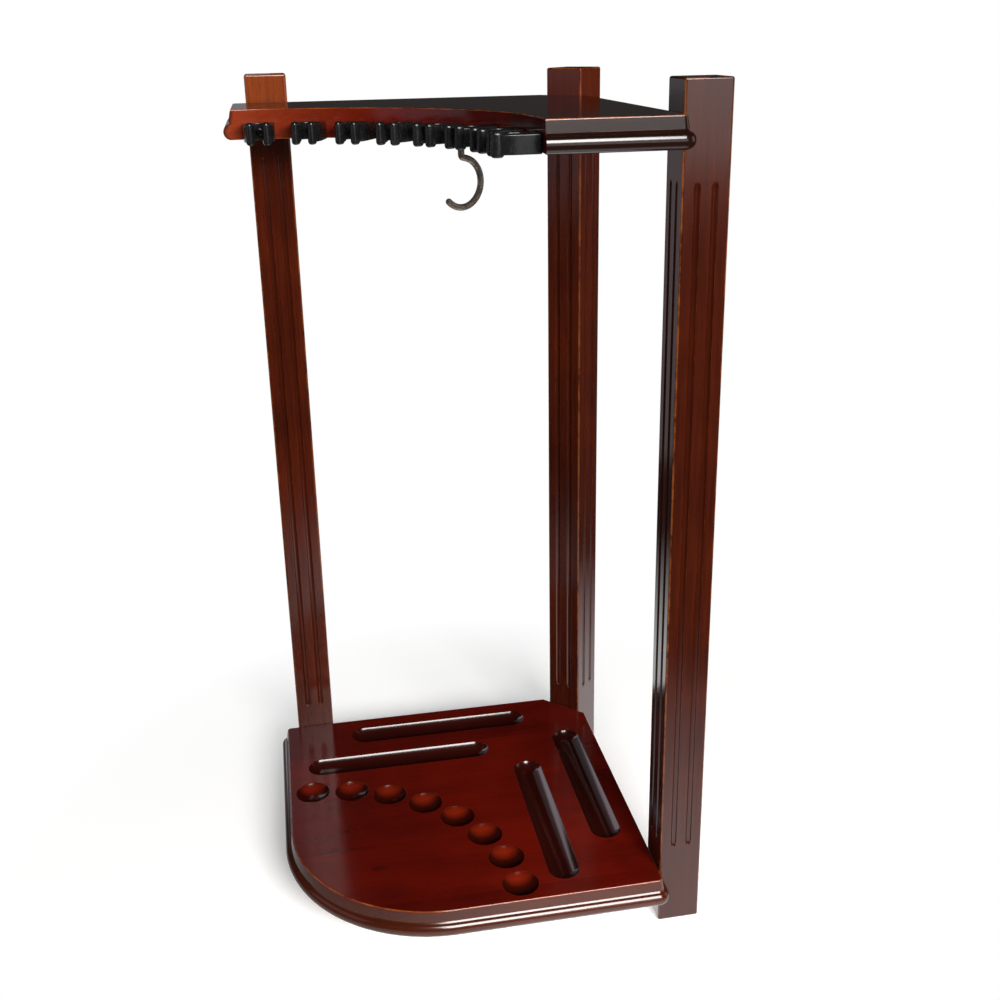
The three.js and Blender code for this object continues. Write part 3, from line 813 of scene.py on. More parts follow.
def shelf_hollows(settings, top):
    """Every dimple and trough of the bottom shelf."""
    shelf = settings.shelf
    cues = settings.cues
    arc_centre = Vector((-cues.centre_offset, -cues.centre_offset))
    dimple = hollow_profile(shelf.dimple_width, shelf.dimple_depth, shelf.lip_round)
    across = Vector((1.0, 0.0))
    hollows = []
    for i, direction in enumerate(cue_directions(cues)):
        centre = arc_centre + direction * cues.cue_radius
        # Painted light grows from dimple to dimple towards the right, as the lacquer thins.
        matt = min(1.0, FIRST_MATT_AND_LIGHT + MATT_AND_LIGHT_STEP * i)
        rings = hollow_rings(centre, across, 0, top, dimple, DIMPLE_STEPS)
        hollows.append((matt, centre, rings))
    trough = hollow_profile(shelf.trough_width, shelf.trough_depth, shelf.lip_round)
    straight = shelf.trough_length - shelf.trough_width
    rows = ((shelf.near_offset, shelf.near_start), (shelf.far_offset, shelf.far_start))
    for offset, start in rows:
        middle = -(start + shelf.trough_length / 2)
        along_x = Vector((middle, -offset))
        along_y = Vector((-offset, middle))
        for centre, along in ((along_x, Vector((1.0, 0.0))), (along_y, Vector((0.0, 1.0)))):
            rings = hollow_rings(centre, along, straight, top, trough, TROUGH_STEPS)
            hollows.append((0.0, centre, rings))
    return hollows


def add_joint_bores_in_shelf(bm, hardware, height):
    """Cutters for a shelf's share of its three joints."""
    contact = -POST_WIDTH / 2
    past = contact + CUT_PAST
    seat = POST_WIDTH / 2 - hardware.counterbore_depth + FIT_GAP
    bolt_end = seat - hardware.bolt_length
    insert_end = contact - FIT_GAP - hardware.insert_length
    deep = min(bolt_end, insert_end) - CUT_PAST
    insert = hardware.insert_width / 2 + FIT_GAP
    dowel = hardware.dowel_width / 2 + FIT_GAP
    dowel_end = contact - hardware.dowel_length / 2 - CUT_PAST
    for name in POST_NAMES:
        place = post_place(name, height)
        lathe(bm, [(deep, insert), (past, insert)], place, BORE_STEPS)
        for side in (-1, 1):
            spot = place @ Matrix.Translation((side * hardware.dowel_offset, 0, 0))
            lathe(bm, [(dowel_end, dowel), (past, dowel)], spot, BORE_STEPS)


def clip_seat(settings):
    """Where the clip screws' heads sit, from the hollow edge towards the arc's centre."""
    return clip_back(settings) + settings.clip.web + FIT_GAP


def clip_back(settings):
    """How far a clip's flat back stands off the middle of the hollow edge."""
    radius = settings.cues.face_radius
    return radius - math.sqrt(radius**2 - settings.clip.width**2 / 4) + FIT_GAP


def clip_places(settings):
    """The place of every clip, whose own +Y is towards the arc's centre."""
    cues = settings.cues
    centre = CORNER.xy - Vector((cues.centre_offset, cues.centre_offset))
    level = SHELF_TOPS["top"] - settings.clip.drop
    places = []
    for direction in cue_directions(cues):
        spot = centre + direction * cues.face_radius
        angle = math.atan2(direction.y, direction.x) + math.pi / 2
        place = Matrix.Translation((spot.x, spot.y, level)) @ Matrix.Rotation(angle, 4, "Z")
        places.append(place)
    return places


def hook_place(settings):
    """The place of the hook's own frame: the foot of its thread, on the shelf's underside."""
    hook = settings.hook
    spot = CORNER + Vector((-hook.wall_offset, -hook.wall_offset, TOP_SHELF_BOX[0].z))
    return Matrix.Translation(spot) @ Matrix.Rotation(hook.facing, 4, "Z")


def build_bottom_shelf(settings):
    """The bottom shelf with its dimples, troughs and bores."""
    top = SHELF_TOPS["bottom"]
    hollows = shelf_hollows(settings, top)
    item = shelf_blank(settings, "bottom_shelf_wood", top, front_with_round_corner, hollows)
    bm = bmesh.new()
    add_joint_bores_in_shelf(bm, settings.hardware, JOINT_HEIGHTS["bottom"])
    combine(item, object_from(bm, "bottom_shelf_bores"), "DIFFERENCE")
    smooth_edges(item, HARD_WOOD)
    return item


SCREW_BORE_STEPS = 20
THREAD_BORE_STEPS = 24


def build_top_shelf(settings):
    """The top shelf with its hollow edge and its bores."""
    hardware = settings.hardware
    top = SHELF_TOPS["top"]
    item = shelf_blank(settings, "top_shelf_wood", top, front_with_hollow, [])
    bm = bmesh.new()
    add_joint_bores_in_shelf(bm, hardware, JOINT_HEIGHTS["top"])
    screw = hardware.screw_width / 2 + FIT_GAP
    end = clip_seat(settings) - hardware.screw_length - CUT_PAST
    for place in clip_places(settings):
        lathe(bm, [(end, screw), (2 * CUT_PAST, screw)], place, SCREW_BORE_STEPS)
    thread = settings.hook.thread_width / 2 + FIT_GAP
    upright = hook_place(settings) @ Matrix.Rotation(math.radians(90), 4, "X")
    depth = settings.hook.thread_length + CUT_PAST
    lathe(bm, [(-CUT_PAST, thread), (depth, thread)], upright, THREAD_BORE_STEPS)
    combine(item, object_from(bm, "top_shelf_bores"), "DIFFERENCE")
    smooth_edges(item, HARD_WOOD)
    return item


# Cue clips and their screws.

BACK_ROUND = 1.6 * MM     # the band's corners against the shelf
BACK_STEPS = 4
SHOULDER_STEPS = 12       # along the curve from a clip's side to its lip
MOUTH_STEPS = 10
HOLD_STEPS = 14
BAND_SOFT = 0.9 * MM      # rounding along the band's edges
BAND_STEPS = 4
LIP_DOME = 2.9 * MM       # rounding of a lip's ends
DOME_STEPS = 6
LIP_SIDES = 32
HOLE_STEPS = 28


def clip_band_outline(settings):
    """The C of a clip's band, seen from above, anticlockwise."""
    clip = settings.clip
    half = clip.width / 2
    back = clip_back(settings)
    hold_start = back + clip.web
    hold_end = hold_start + 2 * clip.hold_radius + clip.hold_stretch
    shoulder = hold_end - clip.hold_radius
    near = hold_start + clip.hold_radius
    lip_y = clip.reach - clip.lip_depth / 2
    # The band ends inside the lips, where the join doesn't show.
    lip_x = clip.lip_spacing / 2 + clip.lip_width / 2 - 1 * MM
    mouth = (clip.lip_spacing - clip.lip_width) / 2
    mouth_angle = math.degrees(math.acos(mouth / clip.hold_radius))
    corner = (half - BACK_ROUND, back + BACK_ROUND)
    points = arc(corner, BACK_ROUND, 270, 360, BACK_STEPS)
    points.append(Vector((half, (back + shoulder) / 2)))
    start = Vector((half, shoulder))
    bend = Vector((half, hold_end - 2 * MM))
    end = Vector((lip_x, lip_y))
    for step in range(SHOULDER_STEPS + 1):
        t = step / SHOULDER_STEPS
        points.append(start * (1 - t) ** 2 + bend * 2 * t * (1 - t) + end * t**2)
    points.append(Vector((mouth + 0.5 * MM, lip_y)))
    points += arc((0, shoulder), clip.hold_radius, mouth_angle, 0, MOUTH_STEPS)
    points += arc((0, near), clip.hold_radius, 0, -90, HOLD_STEPS)
    mirrored = [Vector((-point.x, point.y)) for point in reversed(points)]
    return points + mirrored[1:]


def clip_template(settings):
    """One clip about its own frame, its band and two rolled lips joined."""
    clip = settings.clip
    hardware = settings.hardware
    outline = clip_band_outline(settings)
    levels = rounded_levels(clip.band_height / 2, BAND_SOFT, BAND_STEPS)
    bm = bmesh.new()
    rings = [new_ring(bm, lifted(drawn_in(outline, inset), height)) for height, inset in levels]
    for low, high in zip(rings, rings[1:]):
        bridge(bm, low, high)
    fill_between(bm, [rings[0]], upwards=False)
    fill_between(bm, [rings[-1]], upwards=True)
    item = object_from(bm, "clip_template")
    for side in (-1, 1):
        combine(item, clip_lip(clip, side), "UNION")
    bm = bmesh.new()
    start = clip_back(settings)
    hole = hardware.screw_width / 2 + FIT_GAP
    head = hardware.screw_head_width / 2 + FIT_GAP
    # The head's seat is sunk a little, so that its cut doesn't just touch the hollow.
    seat = start + clip.web - 0.08 * MM
    profile = [(start - CUT_PAST, hole), (seat, hole), (seat, head), (seat + 3 * CUT_PAST, head)]
    lathe(bm, profile, Matrix.Identity(4), HOLE_STEPS)
    combine(item, object_from(bm, "clip_hole"), "DIFFERENCE")
    weld(item)
    smooth_edges(item, HARD_RUBBER)
    return item


def clip_lip(clip, side):
    """One rolled lip: an upright oval roll with domed ends."""
    bm = bmesh.new()
    spot = Vector((side * clip.lip_spacing / 2, clip.reach - clip.lip_depth / 2, 0))
    rings = []
    for height, inset in rounded_levels(clip.lip_height / 2, LIP_DOME, DOME_STEPS):
        points = []
        for step in range(LIP_SIDES):
            angle = 2 * math.pi * step / LIP_SIDES
            x = (clip.lip_width / 2 - inset) * math.cos(angle)
            y = (clip.lip_depth / 2 - inset) * math.sin(angle)
            points.append(spot + Vector((x, y, height)))
        rings.append(new_ring(bm, points))
    close_stack(bm, rings)
    return object_from(bm, "clip_lip")


THREAD_RISE = 0.45        # share of a thread's pitch over which it rises
THREAD_CREST = 0.6        # share of the pitch at which its crest ends


def thread_profile(start, end, radius, pitch, depth):
    """The (y, radius) profile of a row of thread ridges, lowest y first."""
    profile = []
    count = int((end - start) / pitch)
    for i in range(count):
        y = start + i * pitch
        profile.append((y, radius - depth))
        profile.append((y + pitch * THREAD_RISE, radius))
        profile.append((y + pitch * THREAD_CREST, radius))
    profile.append((start + count * pitch, radius - depth))
    return profile


SCREW_SIDES = 28
SCREW_PITCH = 1.1 * MM
SCREW_THREAD = 0.4 * MM   # depth of the thread
SCREW_NECK = 0.8          # the plain part under the head, of the shank's radius
HEAD_STEPS = 6
CROSS_LONG = 2.0 * MM     # half the length of a cross recess
CROSS_SLIM = 0.48 * MM    # half the width of its arms
CROSS_DEEP = 1.4 * MM
CROSS_TAPER = 0.55        # its size at the bottom, of its size at the top


def screw_template(settings):
    """One clip screw: a pan head with a cross recess, and a threaded shank."""
    hardware = settings.hardware
    seat = clip_seat(settings)
    shank = hardware.screw_width / 2
    head = hardware.screw_head_width / 2
    height = hardware.screw_head_height
    tip = seat - hardware.screw_length
    profile = [(tip, 0.15 * MM), (tip + 2.5 * MM, shank * 0.7)]
    profile += thread_profile(tip + 2.6 * MM, seat - 3 * MM, shank, SCREW_PITCH, SCREW_THREAD)
    neck = shank * SCREW_NECK
    profile += [(seat - 2.2 * MM, neck), (seat - 0.1 * MM, neck), (seat, shank)]
    profile += [(seat, head - 0.2 * MM), (seat + 0.2 * MM, head)]
    for step in range(1, HEAD_STEPS + 1):
        angle = math.radians(90 * step / HEAD_STEPS)
        y = seat + height * 0.3 + (height * 0.7) * math.sin(angle)
        profile.append((y, head * 0.5 + head * 0.5 * math.cos(angle)))
    bm = bmesh.new()
    lathe(bm, profile, Matrix.Identity(4), SCREW_SIDES)
    item = object_from(bm, "screw_template")
    bm = bmesh.new()
    outline = []
    for quarter in range(4):
        spin = Matrix.Rotation(math.radians(90 * quarter), 2)
        for x, z in ((CROSS_SLIM, CROSS_SLIM), (CROSS_LONG, CROSS_SLIM), (CROSS_LONG, -CROSS_SLIM)):
            outline.append(spin @ Vector((x, z)))
    outline.sort(key=lambda point: math.atan2(point.y, point.x))
    rings = []
    for y, grow in ((seat + height - CROSS_DEEP, CROSS_TAPER), (seat + height + CUT_PAST, 1.0)):
        points = [Vector((-point.x * grow, y, point.y * grow)) for point in outline]
        rings.append(new_ring(bm, points))
    close_stack(bm, rings)
    bmesh.ops.recalc_face_normals(bm, faces=bm.faces)
    combine(item, object_from(bm, "screw_recess"), "DIFFERENCE")
    smooth_edges(item, HARD_SCREW)
    return item


# Connector bolts.

BOLT_SIDES = 48
BOLT_PITCH = 1.0 * MM
BOLT_THREAD = 0.5 * MM    # depth of the thread
BOLT_RIM = 1.2 * MM       # rounding of the head
RIM_STEPS = 5
KEY_SOFT = 0.25 * MM      # chamfer round the key socket


def bolt_template(settings):
    """One connector bolt: a broad head with a six-sided key socket, and a threaded shank."""
    hardware = settings.hardware
    seat = POST_WIDTH / 2 - hardware.counterbore_depth + FIT_GAP
    shank = hardware.bolt_width / 2
    head = hardware.bolt_head_width / 2
    top = seat + hardware.bolt_head_height
    end = seat - hardware.bolt_length
    profile = [(end, shank - 1 * MM)]
    profile += thread_profile(end + 0.8 * MM, end + 24 * MM, shank, BOLT_PITCH, BOLT_THREAD)
    profile += [(end + 25 * MM, shank), (seat - 0.3 * MM, shank), (seat, shank + 0.3 * MM)]
    profile += [(seat, head - 0.4 * MM), (seat + 0.4 * MM, head), (top - BOLT_RIM, head)]
    for step in range(1, RIM_STEPS + 1):
        angle = math.radians(90 * step / RIM_STEPS)
        y = top - BOLT_RIM + BOLT_RIM * math.sin(angle)
        profile.append((y, head - BOLT_RIM + BOLT_RIM * math.cos(angle)))
    bm = bmesh.new()
    lathe(bm, profile, Matrix.Identity(4), BOLT_SIDES)
    item = object_from(bm, "bolt_template")
    bm = bmesh.new()
    key = hardware.bolt_key / 2
    floor = top - hardware.bolt_key_depth
    profile = [(floor - 0.6 * MM, 0.3 * MM), (floor, key), (top - KEY_SOFT, key)]
    profile.append((top + CUT_PAST, key + 1.2 * MM))
    lathe(bm, profile, Matrix.Identity(4), 6)
    combine(item, object_from(bm, "bolt_key"), "DIFFERENCE")
    smooth_edges(item, HARD_BOLT)
    return item


# Hook.

HOOK_SIDES = 32
HOOK_PITCH = 0.9 * MM
HOOK_THREAD = 0.45 * MM   # depth of the thread
COLLAR_SOFT = 0.6 * MM    # rounding where the thread meets the stem
COLLAR_STEPS = 3
STEM_STEPS = 6
KNEE_STEPS = 8
BOW_STEPS = 72
TIP_STEPS = 8
TIP_TURN = 88             # degrees of the tip's dome that are drawn, before it closes flat


def hook_path(hook):
    """Stations along the hook, from the tip of its thread to the end of its bow.

    Each is (place in the hook's own X-Z plane, direction, radius).
    """
    down = Vector((0.0, -1.0))
    stations = []
    thread = hook.thread_width / 2
    for i in range(int((hook.thread_length - 1 * MM) / HOOK_PITCH)):
        height = hook.thread_length - i * HOOK_PITCH
        radius = thread - HOOK_THREAD if i else 1.2 * MM
        stations.append((Vector((0.0, height)), down, radius))
        stations.append((Vector((0.0, height - HOOK_PITCH * 0.5)), down, thread))
    wire = hook.wire / 2
    start = -FIT_GAP
    stations.append((Vector((0.0, start)), down, thread - 0.4 * MM))
    for step in range(COLLAR_STEPS + 1):
        angle = math.radians(90 * step / COLLAR_STEPS)
        height = start - COLLAR_SOFT * (1 - math.cos(angle))
        radius = wire - COLLAR_SOFT * (1 - math.sin(angle))
        stations.append((Vector((0.0, height)), down, radius))
    knee_z = start - hook.stem
    for step in range(1, STEM_STEPS + 1):
        stations.append((Vector((0.0, start - hook.stem * step / STEM_STEPS)), down, wire))
    for step in range(1, KNEE_STEPS + 1):
        turned = math.radians(90 * step / KNEE_STEPS)
        place = Vector((hook.knee * (1 - math.cos(turned)), knee_z - hook.knee * math.sin(turned)))
        stations.append((place, Vector((math.sin(turned), -math.cos(turned))), wire))
    bow_z = knee_z - hook.knee - hook.bow_radius
    first = math.acos(hook.knee / hook.bow_radius)
    for step in range(1, BOW_STEPS + 1):
        angle = first + (hook.bow_end - first) * step / BOW_STEPS
        x = hook.bow_radius * math.cos(angle)
        place = Vector((x, bow_z + hook.bow_radius * math.sin(angle)))
        direction = Vector((math.sin(angle), -math.cos(angle)))
        stations.append((place, direction, wire))
    tip, along, _ = stations[-1]
    for step in range(1, TIP_STEPS + 1):
        angle = math.radians(TIP_TURN * step / TIP_STEPS)
        stations.append((tip + along * wire * math.sin(angle), along, wire * math.cos(angle)))
    return stations


def build_hook(settings):
    """The hook, swept along its path."""
    bm = bmesh.new()
    rings = []
    for place, along, radius in hook_path(settings.hook):
        across = Vector((-along.y, along.x))
        points = []
        for step in range(HOOK_SIDES):
            angle = 2 * math.pi * step / HOOK_SIDES
            offset = across * (radius * math.cos(angle))
            y = radius * math.sin(angle)
            points.append(Vector((place.x + offset.x, y, place.y + offset.y)))
        rings.append(new_ring(bm, points))
    close_stack(bm, rings)
    bmesh.ops.recalc_face_normals(bm, faces=bm.faces)
    item = object_from(bm, "hook_metal")
    item.data.transform(hook_place(settings))
    smooth_edges(item, HARD_HOOK, weighted=False)
    return item


# Node trees.


class Tree:
    """A short way to place nodes and link them in one node tree."""

    def __init__(self, nodes):
        self.nodes = nodes

    def add(self, kind, inputs=None, **settings):
        """Adds a node. An input is a value, or the output socket that feeds it."""
        node = self.nodes.nodes.new(kind)
        for name, value in settings.items():
            setattr(node, name, value)
        for name, value in (inputs or {}).items():
            self.feed(node.inputs[name], value)
        return node

    def feed(self, socket, value):
        """Sets an input, or links it from an output."""
        if isinstance(value, bpy.types.NodeSocket):
            self.nodes.links.new(value, socket)
        else:
            socket.default_value = value

    def maths(self, operation, *values, clamp=False):
        """A Math node, and its output."""
        node = self.nodes.nodes.new("ShaderNodeMath")
        node.operation = operation
        node.use_clamp = clamp
        for socket, value in zip(node.inputs, values):
            self.feed(socket, value)
        return node.outputs[0]

    def times(self, first, second, clamp=False):
        """Multiplies two values."""
        return self.maths("MULTIPLY", first, second, clamp=clamp)

    def plus(self, first, second, clamp=False):
        """Adds two values."""
        return self.maths("ADD", first, second, clamp=clamp)

    def blend(self, share, first, second):
        """Mixes two shaders, and gives the output."""
        node = self.add("ShaderNodeMixShader")
        for socket, value in zip(node.inputs, (share, first, second)):
            self.feed(socket, value)
        return node.outputs[0]

    def vectors(self, operation, *values):
        """A Vector Math node, and its vector output."""
        node = self.nodes.nodes.new("ShaderNodeVectorMath")
        node.operation = operation
        for socket, value in zip(node.inputs, values):
            self.feed(socket, value)
        return node.outputs["Vector"]


def group_sockets(tree, inputs, outputs):
    """Names a group's inputs and outputs, with the inputs' defaults."""
    for name, kind, default in inputs:
        socket = tree.interface.new_socket(name=name, in_out="INPUT", socket_type=kind)
        if default is not None:
            socket.default_value = default
    for name, kind in outputs:
        tree.interface.new_socket(name=name, in_out="OUTPUT", socket_type=kind)


FLOAT = "NodeSocketFloat"
VECTOR = "NodeSocketVector"


def shader_group(name, inputs, outputs):
    """An empty shader node group, its builder, and the nodes at its two ends."""
    tree = bpy.data.node_groups.new(name, "ShaderNodeTree")
    group_sockets(tree, inputs, outputs)
    builder = Tree(tree)
    return tree, builder, builder.add("NodeGroupInput"), builder.add("NodeGroupOutput")


def span(tree, vector):
    """A vector's length."""
    node = tree.add("ShaderNodeVectorMath", operation="LENGTH", inputs={0: vector})
    return node.outputs["Value"]


def ranged(tree, value, low, high, to_low=0.0, to_high=1.0):
    """Spreads a value's range over another, clamped."""
    node = tree.add("ShaderNodeMapRange", inputs={"Value": value})
    limits = {"From Min": low, "From Max": high, "To Min": to_low, "To Max": to_high}
    for name, number in limits.items():
        tree.feed(node.inputs[name], number)
    return node.outputs["Result"]


def noise(tree, vector, scale, detail=3.0, roughness=0.55, distortion=0.0):
    """A noise, from 0 to 1."""
    node = tree.add("ShaderNodeTexNoise", inputs={"Vector": vector})
    numbers = {
        "Scale": scale, "Detail": detail, "Roughness": roughness, "Distortion": distortion,
    }
    for name, number in numbers.items():
        tree.feed(node.inputs[name], number)
    return node.outputs["Fac"]


# How much a pattern is drawn out along the grain: its scale there, of its scale across.
FIGURE_STRETCH = 0.24
FIBRE_STRETCH = 0.035
PORE_STRETCH = 0.09


def along_grain(tree, x, y, z, stretch, shift):
    """A place in the wood, drawn out along the grain and shifted from board to board."""
    place = tree.add("ShaderNodeCombineXYZ")
    tree.feed(place.inputs["X"], x)
    tree.feed(place.inputs["Y"], y)
    tree.feed(place.inputs["Z"], tree.plus(tree.times(z, stretch), shift))
    return place.outputs[0]


def wood_grain_group():
    """Grain along local Z: boards, broad figure, fibres and pores."""
    inputs = [
        ("Vector", VECTOR, None), ("Board Width", FLOAT, 0.09), ("Figure Scale", FLOAT, 14.0),
        ("Fibre Scale", FLOAT, 420.0), ("Seed", FLOAT, 0.0),
    ]
    outputs = [("Tone", FLOAT), ("Fibre", FLOAT), ("Pores", FLOAT), ("Height", FLOAT)]
    group, tree, start, end = shader_group("wood_grain", inputs, outputs)
    source = start.outputs
    split = tree.add("ShaderNodeSeparateXYZ", inputs={"Vector": source["Vector"]})
    x, y, z = split.outputs
    board = tree.maths("FLOOR", tree.maths("DIVIDE", x, source["Board Width"]))
    pick = tree.add("ShaderNodeTexWhiteNoise", noise_dimensions="1D")
    tree.feed(pick.inputs["W"], tree.plus(board, source["Seed"]))
    own = pick.outputs["Value"]
    shift = tree.times(own, 7.3)
    deep = tree.plus(y, tree.times(source["Seed"], 0.37))
    slow = along_grain(tree, x, deep, z, FIGURE_STRETCH, shift)
    broad = noise(tree, slow, source["Figure Scale"], 3.0, 0.6, 0.9)
    blotch = noise(tree, source["Vector"], 9.0, 2.0, 0.5, 0.3)
    figure = tree.times(ranged(tree, broad, 0.28, 0.72), 0.42)
    patches = tree.times(ranged(tree, blotch, 0.3, 0.7), 0.42)
    tone = tree.plus(tree.plus(figure, patches), tree.times(own, 0.14), clamp=True)
    fine = along_grain(tree, x, deep, z, FIBRE_STRETCH, shift)
    fibre = noise(tree, fine, source["Fibre Scale"], 4.0, 0.65, 0.15)
    short = along_grain(tree, x, deep, z, PORE_STRETCH, shift)
    dash = noise(tree, short, tree.times(source["Fibre Scale"], 3.4), 1.0, 0.5)
    pores = ranged(tree, dash, 0.66, 0.76)
    height = tree.maths("SUBTRACT", tree.times(fibre, 0.35), pores)
    tree.feed(end.inputs["Tone"], tone)
    tree.feed(end.inputs["Fibre"], fibre)
    tree.feed(end.inputs["Pores"], pores)
    tree.feed(end.inputs["Height"], height)
    return group


def edge_wear_group():
    """A mask of rubbed edges, broken up so that the wear comes and goes."""
    inputs = [("Vector", VECTOR, None), ("Amount", FLOAT, 0.6), ("Patch Scale", FLOAT, 55.0)]
    group, tree, start, end = shader_group("edge_wear", inputs, [("Mask", FLOAT)])
    edge = vertex_mask(tree, WEAR)
    patches = noise(tree, start.outputs["Vector"], start.outputs["Patch Scale"], 4.0, 0.7)
    crumbs = noise(tree, start.outputs["Vector"], 900.0, 2.0, 0.6)
    patchy = ranged(tree, patches, 0.35, 0.7, -0.25, 0.75)
    broken = tree.plus(patchy, tree.times(crumbs, 0.35))
    raised = tree.times(edge, tree.plus(broken, 0.35))
    mask = ranged(tree, raised, 0.25, 0.85)
    tree.feed(end.inputs["Mask"], tree.times(mask, start.outputs["Amount"], clamp=True))
    return group


def facing_up(tree):
    """How far a face looks up: 1 on a level top, 0 on a wall."""
    facing = tree.add("ShaderNodeNewGeometry").outputs["Normal"]
    return tree.add("ShaderNodeSeparateXYZ", inputs={"Vector": facing}).outputs["Z"]


def dust_group():
    """A light film of dust and handling, thicker on faces that look up."""
    inputs = [("Vector", VECTOR, None), ("Amount", FLOAT, 0.2)]
    group, tree, start, end = shader_group("dust_film", inputs, [("Mask", FLOAT)])
    lying = ranged(tree, facing_up(tree), 0.2, 1.0, 0.25, 1.0)
    clouds = noise(tree, start.outputs["Vector"], 22.0, 5.0, 0.65, 0.4)
    specks = ranged(tree, noise(tree, start.outputs["Vector"], 1500.0, 2.0, 0.6), 0.62, 0.75)
    cloudy = ranged(tree, clouds, 0.3, 0.75, 0.2, 0.8)
    film = tree.plus(cloudy, tree.times(specks, 0.3))
    amount = tree.times(start.outputs["Amount"], lying)
    tree.feed(end.inputs["Mask"], tree.times(film, amount, clamp=True))
    return group


SHADER_GROUPS = {}


def shared_group(name):
    """One of the shared effects, built the first time that it is asked for."""
    makers = {"wood_grain": wood_grain_group, "edge_wear": edge_wear_group, "dust_film": dust_group}
    if name not in SHADER_GROUPS:
        SHADER_GROUPS[name] = makers[name]()
    return SHADER_GROUPS[name]


def new_material(name):
    """A material with a Principled shader, its tree builder and its object coordinates."""
    material = bpy.data.materials.new(name)
    material.use_nodes = True
    tree = Tree(material.node_tree)
    shader = material.node_tree.nodes["Principled BSDF"]
    coordinates = tree.add("ShaderNodeTexCoord").outputs["Object"]
    return material, tree, shader, coordinates


def placed_group(tree, name, **values):
    """A shared group placed in a material, with its own values."""
    node = tree.add("ShaderNodeGroup", node_tree=shared_group(name))
    for key, value in values.items():
        tree.feed(node.inputs[key.replace("_", " ").title()], value)
    return node.outputs


def mixed(tree, share, first, second, blend="MIX"):
    """A colour mix, and its output."""
    node = tree.add("ShaderNodeMix", data_type="RGBA", blend_type=blend)
    for index, value in ((0, share), (6, first), (7, second)):
        tree.feed(node.inputs[index], value)
    return node.outputs[2]


def roughened(tree, shader, height, strength, distance):
    """Gives a shader its fine relief."""
    inputs = {"Strength": strength, "Distance": distance, "Height": height}
    bump = tree.add("ShaderNodeBump", inputs=inputs)
    tree.feed(shader.inputs["Normal"], bump.outputs["Normal"])


def deepened(shade, depth):
    """A colour made darker, or lighter where the depth is over 1."""
    return (shade[0] * depth, shade[1] * depth, shade[2] * depth, 1.0)


def vertex_mask(tree, name):
    """A mask kept on the mesh's vertices. It is 0 on a mesh that has none."""
    node = tree.add("ShaderNodeAttribute", attribute_name=name, attribute_type="GEOMETRY")
    return node.outputs["Fac"]


KNOT = (0.010, 0.0010, 0.0006, 1.0)
PAINTED_DIMPLE_LIGHT = (0.21, 0.0165, 0.0030, 1.0)      # a painted light: the paler colour inside a dimple
# The painted shade's dark colour in flutes, troughs and dimples.
PAINTED_HOLLOW_SHADE = (0.010, 0.0012, 0.0006, 1.0)
PORE = (0.008, 0.0015, 0.001, 1.0)
WOOD_DUST = (0.35, 0.32, 0.30, 1.0)


